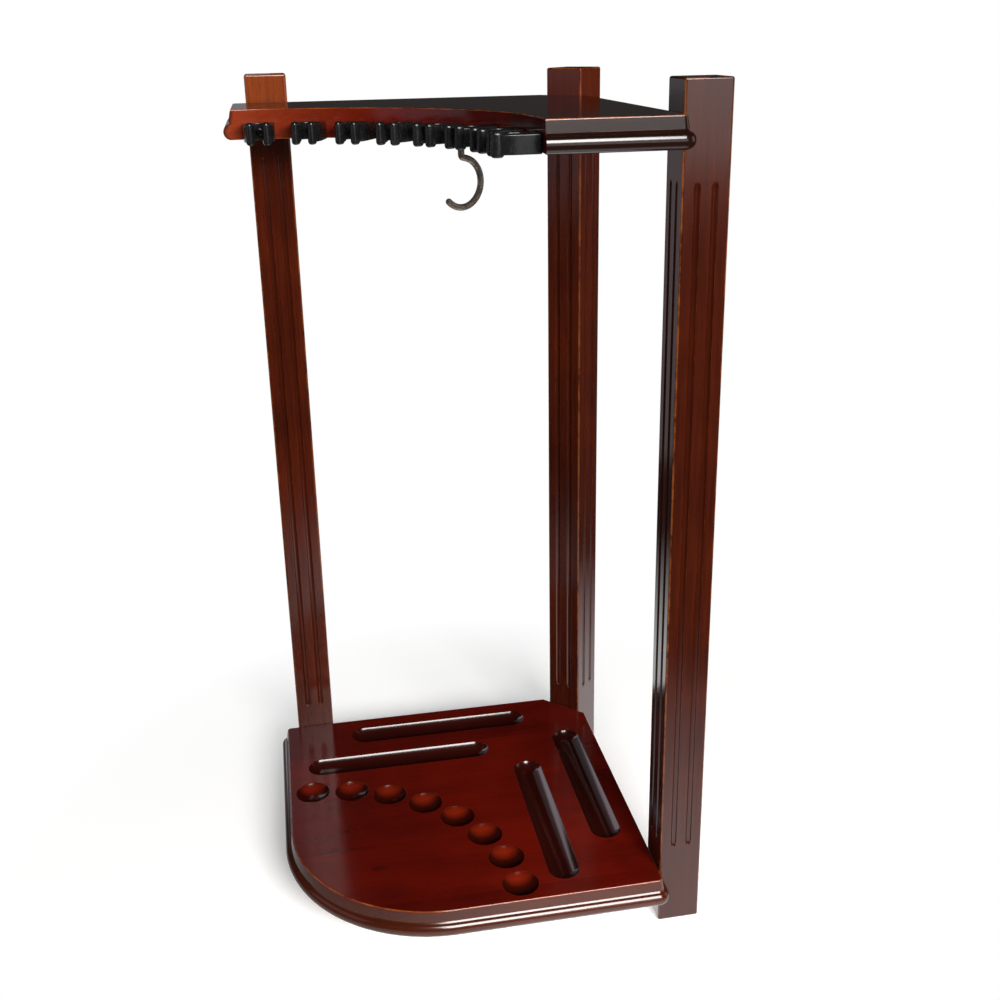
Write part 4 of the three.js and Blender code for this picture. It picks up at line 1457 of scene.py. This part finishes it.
def lacquered_wood(name, finish, look):
    """Stained, grained and lacquered wood with rubbed edges, and painted light and shade.

    The look always holds:
        dark, light: the stain's two ends
        turned: the turn that brings the grain onto local Z
        seed, board_width: the boards that the wood is glued up from
        wear: how much of the edges is rubbed
        streaks: how strongly the fibres show
        hollow_shade: how strong the painted shade is in flutes, troughs and dimples
    and it may hold:
        glow: painted light along an axis: where it starts, where it is full, and its pale colour
        upper: painted shade, a darker colour on faces that look up
        moulding: the stain on moulded edges
        marks: knots, each its x, y, size and strength
        light_falloff: painted light along X: two places, and how bright the colour is at each
    """
    material, tree, shader, place = new_material(name)
    turned = {"Vector": place, "Rotation": look["turned"]}
    grain_place = tree.add("ShaderNodeMapping", inputs=turned).outputs["Vector"]
    grain = placed_group(
        tree, "wood_grain", vector=grain_place, board_width=look["board_width"], seed=look["seed"],
    )
    worn = placed_group(tree, "edge_wear", vector=place, amount=look["wear"])["Mask"]
    film = placed_group(tree, "dust_film", vector=place, amount=0.22)["Mask"]
    matt = vertex_mask(tree, MATT_AND_LIGHT)
    stain = mixed(tree, grain["Tone"], look["dark"], look["light"])
    if "glow" in look:
        axis, start, full, pale = look["glow"]
        along = tree.add("ShaderNodeSeparateXYZ", inputs={"Vector": place}).outputs[axis]
        # The painted light's edge follows the grain.
        ragged = tree.plus(along, tree.times(grain["Tone"], 0.012))
        stain = mixed(tree, ranged(tree, ragged, start, full), stain, pale)
    if "upper" in look:
        # Painted shade: faces that look up are darker.
        stain = mixed(tree, ranged(tree, facing_up(tree), 0.80, 0.99), stain, look["upper"])
    if "moulding" in look:
        dark = deepened(look["moulding"], 0.7)
        light = deepened(look["moulding"], 1.3)
        edge = mixed(tree, grain["Tone"], dark, light)
        stain = mixed(tree, vertex_mask(tree, MOULDED), stain, edge)
    for x, y, size, strength in look.get("marks", ()):
        knot = knot_mask(tree, place, x, y, size, strength)
        stain = mixed(tree, knot, stain, KNOT)
    if "light_falloff" in look:
        # Painted light: the colour grows brighter or darker along X.
        across = tree.add("ShaderNodeSeparateXYZ", inputs={"Vector": place}).outputs["X"]
        stain = mixed(tree, 1.0, stain, ranged(tree, across, *look["light_falloff"]), "MULTIPLY")
    # Painted light: a paler colour brightens the inside of a dimple.
    stain = mixed(tree, tree.times(matt, 0.45), stain, PAINTED_DIMPLE_LIGHT)
    streak = ranged(tree, grain["Fibre"], 0.3, 0.7, 1.0 - look["streaks"], 1.0 + look["streaks"])
    stain = mixed(tree, 1.0, stain, streak, "MULTIPLY")
    # Painted shade: flutes, troughs and dimples are darkened.
    hollow_shade = tree.times(vertex_mask(tree, HOLLOW_SHADE), look["hollow_shade"])
    stain = mixed(tree, hollow_shade, stain, PAINTED_HOLLOW_SHADE)
    stain = mixed(tree, tree.times(grain["Pores"], 0.55), stain, PORE)
    stain = mixed(tree, worn, stain, finish.rubbed_edge)
    stain = mixed(tree, tree.times(film, 0.02), stain, WOOD_DUST)
    tree.feed(shader.inputs["Base Color"], stain)
    fibrous = ranged(tree, grain["Fibre"], 0.2, 0.8, 0.34, 0.46)
    rough = tree.plus(fibrous, tree.times(film, 0.35))
    tree.feed(shader.inputs["Roughness"], tree.plus(rough, tree.times(worn, 0.15)))
    thin = tree.plus(tree.times(worn, 0.5), tree.times(matt, 0.97))
    coat = tree.maths("SUBTRACT", finish.lacquer, thin, clamp=True)
    tree.feed(shader.inputs["Coat Weight"], coat)
    shader.inputs["Specular IOR Level"].default_value = 0.0
    shader.inputs["Coat Roughness"].default_value = 0.16
    shader.inputs["Coat IOR"].default_value = 1.5
    # The lacquer's own faint ripple lies over the grain.
    peel = noise(tree, place, 260.0, 3.0, 0.5)
    relief = tree.plus(tree.times(grain["Height"], 0.7), tree.times(peel, 0.9))
    roughened(tree, shader, relief, 0.35, 0.12 * MM)
    return material


def knot_mask(tree, place, x, y, size, strength):
    """A soft dark knot in a shelf's top, a little longer along the grain."""
    shifted = tree.vectors("SUBTRACT", place, (x, y, 0.0))
    flat = tree.vectors("MULTIPLY", shifted, (0.5 / size, 1.0 / size, 0.0))
    wander = noise(tree, place, 160.0, 2.0, 0.5)
    away = tree.plus(span(tree, flat), tree.times(wander, 1.2))
    return ranged(tree, away, 0.5, 1.8, strength, 0.0)


RUBBER_BLOOM = (0.006, 0.0061, 0.0066, 1.0)
RUBBER_SCUFF = (0.05, 0.05, 0.052, 1.0)
RUBBER_DUST = (0.4, 0.4, 0.4, 1.0)


def black_rubber(finish):
    """Moulded black rubber, slightly bloomed and scuffed."""
    material, tree, shader, place = new_material("black_rubber")
    film = placed_group(tree, "dust_film", vector=place, amount=0.5)["Mask"]
    mottle = noise(tree, place, 140.0, 5.0, 0.6)
    upright = {"Vector": place, "Scale": (1.0, 1.0, 0.12)}
    scuff_place = tree.add("ShaderNodeMapping", inputs=upright).outputs[0]
    scuffs = ranged(tree, noise(tree, scuff_place, 900.0, 3.0, 0.6), 0.60, 0.72)
    base = mixed(tree, ranged(tree, mottle, 0.3, 0.7), finish.rubber, RUBBER_BLOOM)
    base = mixed(tree, tree.times(scuffs, 0.35), base, RUBBER_SCUFF)
    base = mixed(tree, tree.times(film, 0.02), base, RUBBER_DUST)
    tree.feed(shader.inputs["Base Color"], base)
    mottled = ranged(tree, mottle, 0.3, 0.7, 0.20, 0.30)
    rough = tree.plus(mottled, tree.times(film, 0.2))
    tree.feed(shader.inputs["Roughness"], rough)
    shader.inputs["Specular IOR Level"].default_value = 0.45
    pebble = noise(tree, place, 1600.0, 3.0, 0.6)
    relief = tree.plus(tree.times(pebble, 0.5), tree.times(scuffs, -0.4))
    roughened(tree, shader, relief, 0.45, 0.15 * MM)
    return material


METAL_PATINA = (0.17, 0.14, 0.11, 1.0)
METAL_PIT = (0.030, 0.022, 0.017, 1.0)
METAL_DUST = (0.35, 0.33, 0.30, 1.0)


def antique_metal(finish):
    """Aged nickel: bright where it is handled, brown and pitted elsewhere."""
    material, tree, shader, place = new_material("antique_metal")
    patina = noise(tree, place, 130.0, 6.0, 0.65, 0.6)
    pits = ranged(tree, noise(tree, place, 900.0, 4.0, 0.6), 0.56, 0.70)
    film = placed_group(tree, "dust_film", vector=place, amount=0.3)["Mask"]
    base = mixed(tree, ranged(tree, patina, 0.38, 0.62), METAL_PATINA, finish.antique)
    base = mixed(tree, tree.times(pits, 0.65), base, METAL_PIT)
    base = mixed(tree, tree.times(film, 0.10), base, METAL_DUST)
    tree.feed(shader.inputs["Base Color"], base)
    tree.feed(shader.inputs["Metallic"], ranged(tree, pits, 0.0, 1.0, 0.85, 0.6))
    handled = ranged(tree, patina, 0.3, 0.7, 0.46, 0.30)
    rough = tree.plus(handled, tree.times(pits, 0.2))
    tree.feed(shader.inputs["Roughness"], rough)
    casting = noise(tree, place, 520.0, 4.0, 0.6)
    relief = tree.maths("SUBTRACT", tree.times(casting, 0.8), pits)
    roughened(tree, shader, relief, 0.6, 0.3 * MM)
    return material


def zinc_steel(name, plating, shaded):
    """Zinc plating, bright or blackened, with a fine tooth. Shaded is its duller colour."""
    material, tree, shader, place = new_material(name)
    bloom = noise(tree, place, 260.0, 5.0, 0.6)
    film = placed_group(tree, "dust_film", vector=place, amount=0.4)["Mask"]
    base = mixed(tree, ranged(tree, bloom, 0.35, 0.65), shaded, plating)
    base = mixed(tree, tree.times(film, 0.15), base, deepened(plating, 0.6))
    tree.feed(shader.inputs["Base Color"], base)
    shader.inputs["Metallic"].default_value = 1.0
    bloomed = ranged(tree, bloom, 0.3, 0.7, 0.24, 0.36)
    rough = tree.plus(bloomed, tree.times(film, 0.25))
    tree.feed(shader.inputs["Roughness"], rough)
    marks = noise(tree, place, 2400.0, 2.0, 0.5)
    roughened(tree, shader, marks, 0.3, 0.08 * MM)
    return material


BEECH_DARK = (0.42, 0.25, 0.12, 1.0)
BEECH_PORE = (0.22, 0.11, 0.05, 1.0)


def beech_wood(finish):
    """Bare beech of the dowels."""
    material, tree, shader, place = new_material("pale_wood")
    grain = placed_group(
        tree, "wood_grain", vector=place, board_width=0.2, seed=5.0, fibre_scale=900.0,
    )
    base = mixed(tree, grain["Tone"], BEECH_DARK, finish.beech)
    base = mixed(tree, tree.times(grain["Pores"], 0.5), base, BEECH_PORE)
    tree.feed(shader.inputs["Base Color"], base)
    tree.feed(shader.inputs["Roughness"], ranged(tree, grain["Fibre"], 0.3, 0.7, 0.62, 0.80))
    roughened(tree, shader, grain["Height"], 0.5, 0.2 * MM)
    return material


# Geometry Nodes arrays.


def geometry_tree(name, inputs):
    """An empty Geometry Nodes tree, its builder, and the nodes at its two ends."""
    tree = bpy.data.node_groups.new(name, "GeometryNodeTree")
    tree.interface.new_socket(name="Geometry", in_out="INPUT", socket_type="NodeSocketGeometry")
    group_sockets(tree, inputs, [("Geometry", "NodeSocketGeometry")])
    builder = Tree(tree)
    return tree, builder, builder.add("NodeGroupInput"), builder.add("NodeGroupOutput")


def end_of_array(builder, end, points, turns, source):
    """Places the piece on every point, makes it real and gives it its material."""
    info = builder.add("GeometryNodeObjectInfo", transform_space="ORIGINAL")
    builder.feed(info.inputs["Object"], source["Piece"])
    info.inputs["As Instance"].default_value = True
    placed = builder.add("GeometryNodeInstanceOnPoints")
    builder.feed(placed.inputs["Points"], points)
    builder.feed(placed.inputs["Instance"], info.outputs["Geometry"])
    builder.feed(placed.inputs["Rotation"], turns)
    real = builder.add("GeometryNodeRealizeInstances")
    builder.feed(real.inputs["Geometry"], placed.outputs["Instances"])
    painted = builder.add("GeometryNodeSetMaterial")
    builder.feed(painted.inputs["Geometry"], real.outputs["Geometry"])
    builder.feed(painted.inputs["Material"], source["Material"])
    builder.feed(end.inputs["Geometry"], painted.outputs["Geometry"])


def arc_array_tree():
    """Repeats a piece along an arc, each one turned towards the arc's centre."""
    tree, builder, start, end = geometry_tree("arc_array", [
        ("Piece", "NodeSocketObject", None), ("Material", "NodeSocketMaterial", None),
        ("Count", "NodeSocketInt", 8), ("Step", FLOAT, 0.2), ("Radius", FLOAT, 0.2),
        ("Centre", VECTOR, None),
    ])
    source = start.outputs
    index = builder.add("GeometryNodeInputIndex").outputs[0]
    halfway = builder.maths("DIVIDE", builder.maths("SUBTRACT", source["Count"], 1.0), 2.0)
    places = builder.times(builder.maths("SUBTRACT", halfway, index), source["Step"])
    angle = builder.plus(places, math.radians(45))
    direction = builder.add("ShaderNodeCombineXYZ")
    for axis, operation in (("X", "COSINE"), ("Y", "SINE")):
        reach = builder.times(builder.maths(operation, angle), source["Radius"])
        builder.feed(direction.inputs[axis], reach)
    spot = builder.vectors("ADD", source["Centre"], direction.outputs[0])
    points = builder.add("GeometryNodePoints", inputs={"Count": source["Count"], "Position": spot})
    turned = builder.add("ShaderNodeCombineXYZ")
    # The turn is read on the points, so the field that places them also turns them.
    builder.feed(turned.inputs["Z"], builder.plus(angle, math.radians(90)))
    end_of_array(builder, end, points.outputs["Points"], turned.outputs[0], source)
    return tree


def joint_array_tree():
    """Repeats a piece at two heights on every post, turned as the post is."""
    tree, builder, start, end = geometry_tree("joint_array", [
        ("Piece", "NodeSocketObject", None), ("Material", "NodeSocketMaterial", None),
        ("Lower Height", FLOAT, 0.0), ("Upper Height", FLOAT, 0.5),
    ])
    source = start.outputs
    joined = builder.add("GeometryNodeJoinGeometry")
    for name in ("Upper Height", "Lower Height"):
        offset = builder.add("ShaderNodeCombineXYZ")
        builder.feed(offset.inputs["Z"], source[name])
        moved = builder.add("GeometryNodeSetPosition")
        builder.feed(moved.inputs["Geometry"], source["Geometry"])
        builder.feed(moved.inputs["Offset"], offset.outputs[0])
        builder.feed(joined.inputs["Geometry"], moved.outputs["Geometry"])
    turned = builder.add("ShaderNodeCombineXYZ")
    stored = builder.add("GeometryNodeInputNamedAttribute", data_type="FLOAT")
    stored.inputs["Name"].default_value = "turn"
    builder.feed(turned.inputs["Z"], stored.outputs["Attribute"])
    end_of_array(builder, end, joined.outputs["Geometry"], turned.outputs[0], source)
    return tree


def build_array(name, carrier, tree, values):
    """Runs a Geometry Nodes tree on a carrier mesh and keeps the plain mesh that it gives."""
    item = bpy.data.objects.new(name, carrier)
    modifier = item.modifiers.new(name, "NODES")
    modifier.node_group = tree
    sockets = {}
    for socket in tree.interface.items_tree:
        if socket.in_out == "INPUT":
            sockets[socket.name] = socket.identifier
    for key, value in values.items():
        modifier[sockets[key]] = value
    bpy.context.scene.collection.objects.link(item)
    settle(item)
    return item


# Operators.


POST_SEEDS = {"left": 2.0, "right": 9.0, "corner": 17.0}
POST_DEPTHS = {"left": 0.68, "right": 0.50, "corner": 0.78}     # lightness of each post's stain
POST_PAINTED_LIGHT = (0.150, 0.029, 0.0060, 1.0)                         # painted light on the left post's top
ALONG_X = (0.0, math.radians(-90), math.radians(90))            # turns the grain from Z to X
SHELF_LOOKS = {
    "bottom": {
        "seed": 31.0,
        "moulding": (0.045, 0.0080, 0.0026, 1.0),
        # Painted light, brighter towards the right.
        "light_falloff": (-0.18, 0.10, 0.95, 1.30),
        "marks": (
            (-0.108, -0.116, 0.0044, 0.60),
            (0.122, -0.122, 0.0036, 0.55),
            (-0.105, -0.150, 0.016, 0.22),
            (-0.165, -0.060, 0.022, 0.14),
        ),
    },
    "top": {
        "seed": 44.0,
        "moulding": (0.013, 0.0036, 0.0018, 1.0),
        # Painted shade on the top face, and painted light at the left end that falls off to the
        # right.
        "upper": (0.024, 0.0040, 0.0018, 1.0),
        "glow": ("X", -0.04, -0.21, (0.175, 0.024, 0.0065, 1.0)),
        "light_falloff": (-0.18, 0.0, 1.0, 0.60),
    },
}


class RACK_OT_stage(Operator):
    """Sets up the camera, the pale floor and the soft studio light"""

    bl_idname = "rack.stage"
    bl_label = "Stage"

    def execute(self, context):
        settings = context.scene.rack_settings
        place_camera(context)
        lay_floor(context, settings.finish)
        hang_lights(context)
        light_world(context)
        return {"FINISHED"}


class RACK_OT_posts(Operator):
    """Builds the three fluted posts"""

    bl_idname = "rack.posts"
    bl_label = "Posts"

    def execute(self, context):
        settings = context.scene.rack_settings
        finish = settings.finish
        shelf_top = SHELF_TOPS["top"]
        for name in POST_NAMES:
            item = build_post(settings, name)
            look = {
                "dark": deepened(finish.post_dark, POST_DEPTHS[name]),
                "light": deepened(finish.post_light, POST_DEPTHS[name]),
                "turned": (0.0, 0.0, 0.0),
                "seed": POST_SEEDS[name],
                "board_width": 0.2,
                "wear": 0.27,
                "streaks": 0.26,
                "hollow_shade": 0.24,
            }
            if name == "left":
                # Painted light on the left post's top, above the top shelf.
                look["glow"] = ("Z", shelf_top - 10 * MM, shelf_top + 6 * MM, POST_PAINTED_LIGHT)
            material = lacquered_wood(f"stained_post_{name}", finish, look)
            finish_piece(item, material, "rack", [f"{name}_post"])
        return {"FINISHED"}


class RACK_OT_shelves(Operator):
    """Builds the two moulded shelves"""

    bl_idname = "rack.shelves"
    bl_label = "Shelves"

    def execute(self, context):
        settings = context.scene.rack_settings
        finish = settings.finish
        makers = {"bottom": build_bottom_shelf, "top": build_top_shelf}
        for name, own_look in SHELF_LOOKS.items():
            item = makers[name](settings)
            look = {
                "dark": finish.stain_dark,
                "light": finish.stain_light,
                "turned": ALONG_X,
                "board_width": 0.085,
                "wear": 0.40,
                "streaks": 0.10,
                "hollow_shade": 0.88,
                **own_look,
            }
            material = lacquered_wood(f"stained_shelf_{name}", finish, look)
            finish_piece(item, material, "rack", [f"{name}_shelf"])
        return {"FINISHED"}


class RACK_OT_clips(Operator):
    """Builds the rubber cue clips and the screws that hold them"""

    bl_idname = "rack.clips"
    bl_label = "Cue clips"

    def execute(self, context):
        settings = context.scene.rack_settings
        cues = settings.cues
        centre = CORNER - Vector((cues.centre_offset, cues.centre_offset, 0.0))
        centre.z = SHELF_TOPS["top"] - settings.clip.drop
        tree = arc_array_tree()
        # The screws' black is a painted shade that keeps them dark inside the clips.
        plating = settings.finish.shade_black_zinc
        shade_black_zinc = zinc_steel("blackened_zinc", plating, deepened(plating, 0.5))
        clip = clip_template(settings)
        rubber = black_rubber(settings.finish)
        screw = screw_template(settings)
        rows = (
            ("cue_clips", clip, rubber, "black_rubber", "cue_clip"),
            ("clip_screws", screw, shade_black_zinc, "zinc_steel", "clip_screw"),
        )
        for name, template, material, slot, node in rows:
            values = {
                "Piece": template, "Material": material, "Count": cues.count,
                "Step": cues.step, "Radius": cues.face_radius, "Centre": tuple(centre),
            }
            item = build_array(name, bpy.data.meshes.new(name), tree, values)
            remove_object(template)
            nodes = [f"{node}_{i + 1}" for i in range(cues.count)]
            finish_piece(item, material, "rack", nodes)
        return {"FINISHED"}


class RACK_OT_hardware(Operator):
    """Builds the connector bolts, and finishes the inserts and dowels"""

    bl_idname = "rack.hardware"
    bl_label = "Hardware"

    def execute(self, context):
        settings = context.scene.rack_settings
        plating = settings.finish.zinc
        zinc = zinc_steel("zinc_steel", plating, deepened(plating, 0.66))
        beech = beech_wood(settings.finish)
        carrier = bpy.data.meshes.new("connector_bolts")
        middles = [post_place(name).translation for name in POST_NAMES]
        carrier.from_pydata([tuple(middle) for middle in middles], [], [])
        turns = carrier.attributes.new("turn", "FLOAT", "POINT")
        turns.data.foreach_set("value", [math.radians(POST_TURNS[name]) for name in POST_NAMES])
        template = bolt_template(settings)
        values = {
            "Piece": template, "Material": zinc,
            "Lower Height": JOINT_HEIGHTS["bottom"], "Upper Height": JOINT_HEIGHTS["top"],
        }
        item = build_array("connector_bolts", carrier, joint_array_tree(), values)
        remove_object(template)
        nodes = [f"bolt_{post}_{shelf}" for post in POST_NAMES for shelf in SHELF_TOPS]
        finish_piece(item, zinc, "rack", nodes)
        for name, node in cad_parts.items():
            # The inserts and dowels lie inside the joints, so they stay as the frame has them.
            if name.startswith("insert_"):
                material = zinc
            elif name.startswith("dowel_"):
                material = beech
            else:
                continue
            for slot in node.material_slots:
                slot.material = material
        return {"FINISHED"}


class RACK_OT_hook(Operator):
    """Builds the hook under the top shelf"""

    bl_idname = "rack.hook"
    bl_label = "Hook"

    def execute(self, context):
        settings = context.scene.rack_settings
        item = build_hook(settings)
        material = antique_metal(settings.finish)
        finish_piece(item, material, "hook_body", ["hook"])
        return {"FINISHED"}


# Stage.

CAMERA_PLACE = Vector((-0.15633, -1.08689, 0.81732))
CAMERA_YAW = 10.243       # degrees from +Y towards +X
CAMERA_PITCH = 19.603     # degrees below the level
CAMERA_ROLL = -1.079      # degrees
CAMERA_LENS = 43.34       # millimetres, on a sensor of the next width
CAMERA_SENSOR = 36.0
CAMERA_SHIFT = -0.04
WHITE = (1.0, 1.0, 1.0, 1.0)


def place_camera(context):
    """The camera, a little above the top shelf and looking down at the rack."""
    yaw = math.radians(CAMERA_YAW)
    pitch = math.radians(CAMERA_PITCH)
    roll = math.radians(CAMERA_ROLL)
    ahead = math.cos(pitch)
    forward = Vector((math.sin(yaw) * ahead, math.cos(yaw) * ahead, -math.sin(pitch)))
    level = Vector((math.cos(yaw), -math.sin(yaw), 0.0))
    upright = level.cross(forward)
    right = level * math.cos(roll) + upright * math.sin(roll)
    up = upright * math.cos(roll) - level * math.sin(roll)
    camera = bpy.data.cameras.new("camera")
    camera.lens = CAMERA_LENS
    camera.sensor_width = CAMERA_SENSOR
    camera.shift_y = CAMERA_SHIFT
    camera.clip_start = 0.01
    camera.clip_end = 200.0
    item = bpy.data.objects.new("camera", camera)
    turned = Matrix((right, up, -forward)).transposed().to_4x4()
    item.matrix_world = Matrix.Translation(CAMERA_PLACE) @ turned
    context.scene.collection.objects.link(item)
    context.scene.camera = item


FLOOR_SIZE = 60.0
PAPER_TOOTH = (0.80, 0.80, 0.79, 1.0)
FLOOR_LIFT = 0.35         # glow that brings the lit floor up to white
FLOOR_NEAR = 0.20         # distances from the middle of the rack, in metres, between
FLOOR_FAR = 0.50          # which the lit floor gives way to an even white


def lay_floor(context, finish):
    """A plain pale floor that runs out to the horizon."""
    bm = bmesh.new()
    half = FLOOR_SIZE / 2
    corners = [(-half, -half, 0), (half, -half, 0), (half, half, 0), (-half, half, 0)]
    bm.faces.new([bm.verts.new(corner) for corner in corners])
    mesh = bpy.data.meshes.new("floor")
    bm.to_mesh(mesh)
    bm.free()
    item = bpy.data.objects.new("floor", mesh)
    context.scene.collection.objects.link(item)
    item.data.materials.append(floor_material(finish))


def glowing(tree, strength):
    """A white glow, and its output."""
    inputs = {"Color": WHITE, "Strength": strength}
    return tree.add("ShaderNodeEmission", inputs=inputs).outputs[0]


def floor_material(finish):
    """Pale paper: lit near the rack, evenly white far off, quiet in reflections."""
    material = bpy.data.materials.new("studio_floor")
    material.use_nodes = True
    tree = Tree(material.node_tree)
    material.node_tree.nodes.remove(material.node_tree.nodes["Principled BSDF"])
    output = material.node_tree.nodes["Material Output"]
    place = tree.add("ShaderNodeTexCoord").outputs["Object"]
    distance = span(tree, place)
    tooth = ranged(tree, noise(tree, place, 240.0, 4.0, 0.6), 0.3, 0.7)
    paper = mixed(tree, tree.times(tooth, 0.04), finish.floor, PAPER_TOOTH)
    lit = tree.add("ShaderNodeBsdfDiffuse", inputs={"Color": paper}).outputs[0]
    far = glowing(tree, 1.0)
    near = tree.add("ShaderNodeAddShader", inputs={0: lit, 1: glowing(tree, FLOOR_LIFT)})
    blend = ranged(tree, distance, FLOOR_NEAR, FLOOR_FAR)
    seen = tree.blend(blend, near.outputs[0], far)
    # In the lacquer the floor shows only near the rack, and more of it on the right.
    across = tree.add("ShaderNodeSeparateXYZ", inputs={"Vector": place}).outputs["X"]
    lit_side = ranged(tree, across, -0.30, 0.05, 0.15, 1.0)
    fade = tree.times(ranged(tree, distance, 0.36, 0.75, 1.6, 0.04), lit_side)
    path = tree.add("ShaderNodeLightPath").outputs
    reflected = tree.blend(path["Is Glossy Ray"], seen, glowing(tree, fade))
    below = tree.add("ShaderNodeNewGeometry").outputs["Backfacing"]
    clear = tree.add("ShaderNodeBsdfTransparent").outputs[0]
    tree.feed(output.inputs["Surface"], tree.blend(below, reflected, clear))
    return material


WARM = (1.0, 0.99, 0.97)
ROSE = (0.97, 0.88, 0.94)
DEEP_ROSE = (0.97, 0.86, 0.94)
LAVENDER = (0.88, 0.86, 1.0)

# Every light: name, place, point that it faces, width, height, brightness, colour, and whether it
# lights the matt surfaces, shows in the lacquer, or both.
LIGHTS = (
    ("key", (0.50, -2.35, 1.30), (0.0, 0.0, 0.2), 1.1, 0.5, 70.0, (1.0, 0.985, 0.96), "matt"),
    ("front_softbox", (0.85, -4.10, 4.30), (0.05, -0.1, 0.1), 2.4, 3.0, 26.0, WARM, "shine"),
    ("front_panel", (0.90, -2.4, 1.24), (0.1, 0.0, 0.6), 1.2, 1.1, 1.4, WARM, "shine"),
    ("front_strip", (1.05, -2.4, 0.62), (0.1, 0.0, 0.7), 1.0, 0.30, 1.8, WARM, "shine"),
    ("back_left_panel", (-0.45, 0.95, 0.46), (0.0, 0.0, 0.4), 0.65, 0.90, 0.28, ROSE, "shine"),
    ("back_left_core", (-0.58, 0.92, 0.55), (0.0, 0.0, 0.4), 0.20, 0.65, 1.9, DEEP_ROSE, "shine"),
    ("left_panel", (-1.50, -0.3, 0.85), (0.0, 0.0, 0.5), 1.3, 0.9, 0.45, LAVENDER, "shine"),
    ("right_panel", (2.3, -0.2, 1.0), (0.0, 0.0, 0.4), 1.2, 1.4, 0.9, (1.0, 0.98, 0.95), "both"),
)


def hang_lights(context):
    """Soft panels round the rack, hidden from the camera itself."""
    for name, place, target, width, height, brightness, tint, reach in LIGHTS:
        light = bpy.data.lights.new(name, "AREA")
        light.shape = "RECTANGLE"
        light.size = width
        light.size_y = height
        light.energy = math.pi * width * height * brightness
        light.color = tint
        item = bpy.data.objects.new(name, light)
        direction = Vector(target) - Vector(place)
        facing = direction.to_track_quat("-Z", "Y").to_matrix().to_4x4()
        item.matrix_world = Matrix.Translation(place) @ facing
        item.visible_camera = False
        item.visible_diffuse = reach != "shine"
        item.visible_glossy = reach != "matt"
        context.scene.collection.objects.link(item)


WORLD_FILL = 0.11         # even light that reaches matt surfaces
WORLD_MIRRORED = 0.006    # what the lacquer mirrors all round
HORIZON_MIRRORED = 0.05   # and what it mirrors besides, low behind the rack


def light_world(context):
    """Even light all round: white to look at, dim where the lacquer mirrors it."""
    world = bpy.data.worlds.new("studio")
    context.scene.world = world
    world.use_nodes = True
    tree = Tree(world.node_tree)
    output = world.node_tree.nodes["World Output"]
    fill = world.node_tree.nodes["Background"]
    fill.inputs["Color"].default_value = (0.97, 0.985, 1.0, 1.0)
    fill.inputs["Strength"].default_value = WORLD_FILL
    direction = tree.add("ShaderNodeTexCoord").outputs["Generated"]
    split = tree.add("ShaderNodeSeparateXYZ", inputs={"Vector": direction}).outputs
    behind = ranged(tree, split["Y"], 0.2, 0.7)
    low = ranged(tree, split["Z"], 0.0, 0.25, HORIZON_MIRRORED, 0.0)
    strength = tree.plus(tree.times(low, behind), WORLD_MIRRORED)
    inputs = {"Color": (1.0, 0.96, 0.93, 1.0), "Strength": strength}
    dim = tree.add("ShaderNodeBackground", inputs=inputs).outputs[0]
    white = tree.add("ShaderNodeBackground", inputs={"Color": WHITE, "Strength": 1.0}).outputs[0]
    path = tree.add("ShaderNodeLightPath").outputs
    mirrored = tree.blend(path["Is Glossy Ray"], fill.outputs[0], dim)
    seen = tree.blend(path["Is Camera Ray"], mirrored, white)
    tree.feed(output.inputs["Surface"], seen)
    context.scene.view_settings.view_transform = "Standard"


class RACK_PT_panel(Panel):
    """Lists the steps that build the cue rack"""

    bl_label = "Corner cue rack"
    bl_idname = "RACK_PT_panel"
    bl_space_type = "VIEW_3D"
    bl_region_type = "UI"
    bl_category = "Cue rack"

    def draw(self, context):
        column = self.layout.column()
        for operator in OPERATORS:
            column.operator(operator.bl_idname)


PROPERTY_GROUPS = (
    PostSizes, ShelfSizes, CueSizes, ClipSizes, HookSizes, HardwareSizes, Finishes, RackSettings,
)
OPERATORS = (
    RACK_OT_stage, RACK_OT_posts, RACK_OT_shelves, RACK_OT_clips, RACK_OT_hardware, RACK_OT_hook,
)


def register():
    """Registers the settings, the operators and the panel."""
    for item in (*PROPERTY_GROUPS, *OPERATORS, RACK_PT_panel):
        bpy.utils.register_class(item)
    bpy.types.Scene.rack_settings = PointerProperty(type=RackSettings)


def unregister():
    """Removes them again."""
    del bpy.types.Scene.rack_settings
    for item in reversed((*PROPERTY_GROUPS, *OPERATORS, RACK_PT_panel)):
        bpy.utils.unregister_class(item)


def plain(box):
    """A box as plain lists of numbers."""
    return [list(corner) for corner in box]


def main():
    """Builds the whole rack."""
    register()
    bpy.ops.rack.stage()
    bpy.ops.rack.posts()
    bpy.ops.rack.shelves()
    bpy.ops.rack.clips()
    bpy.ops.rack.hardware()
    bpy.ops.rack.hook()


if __name__ == "__main__":
    main()
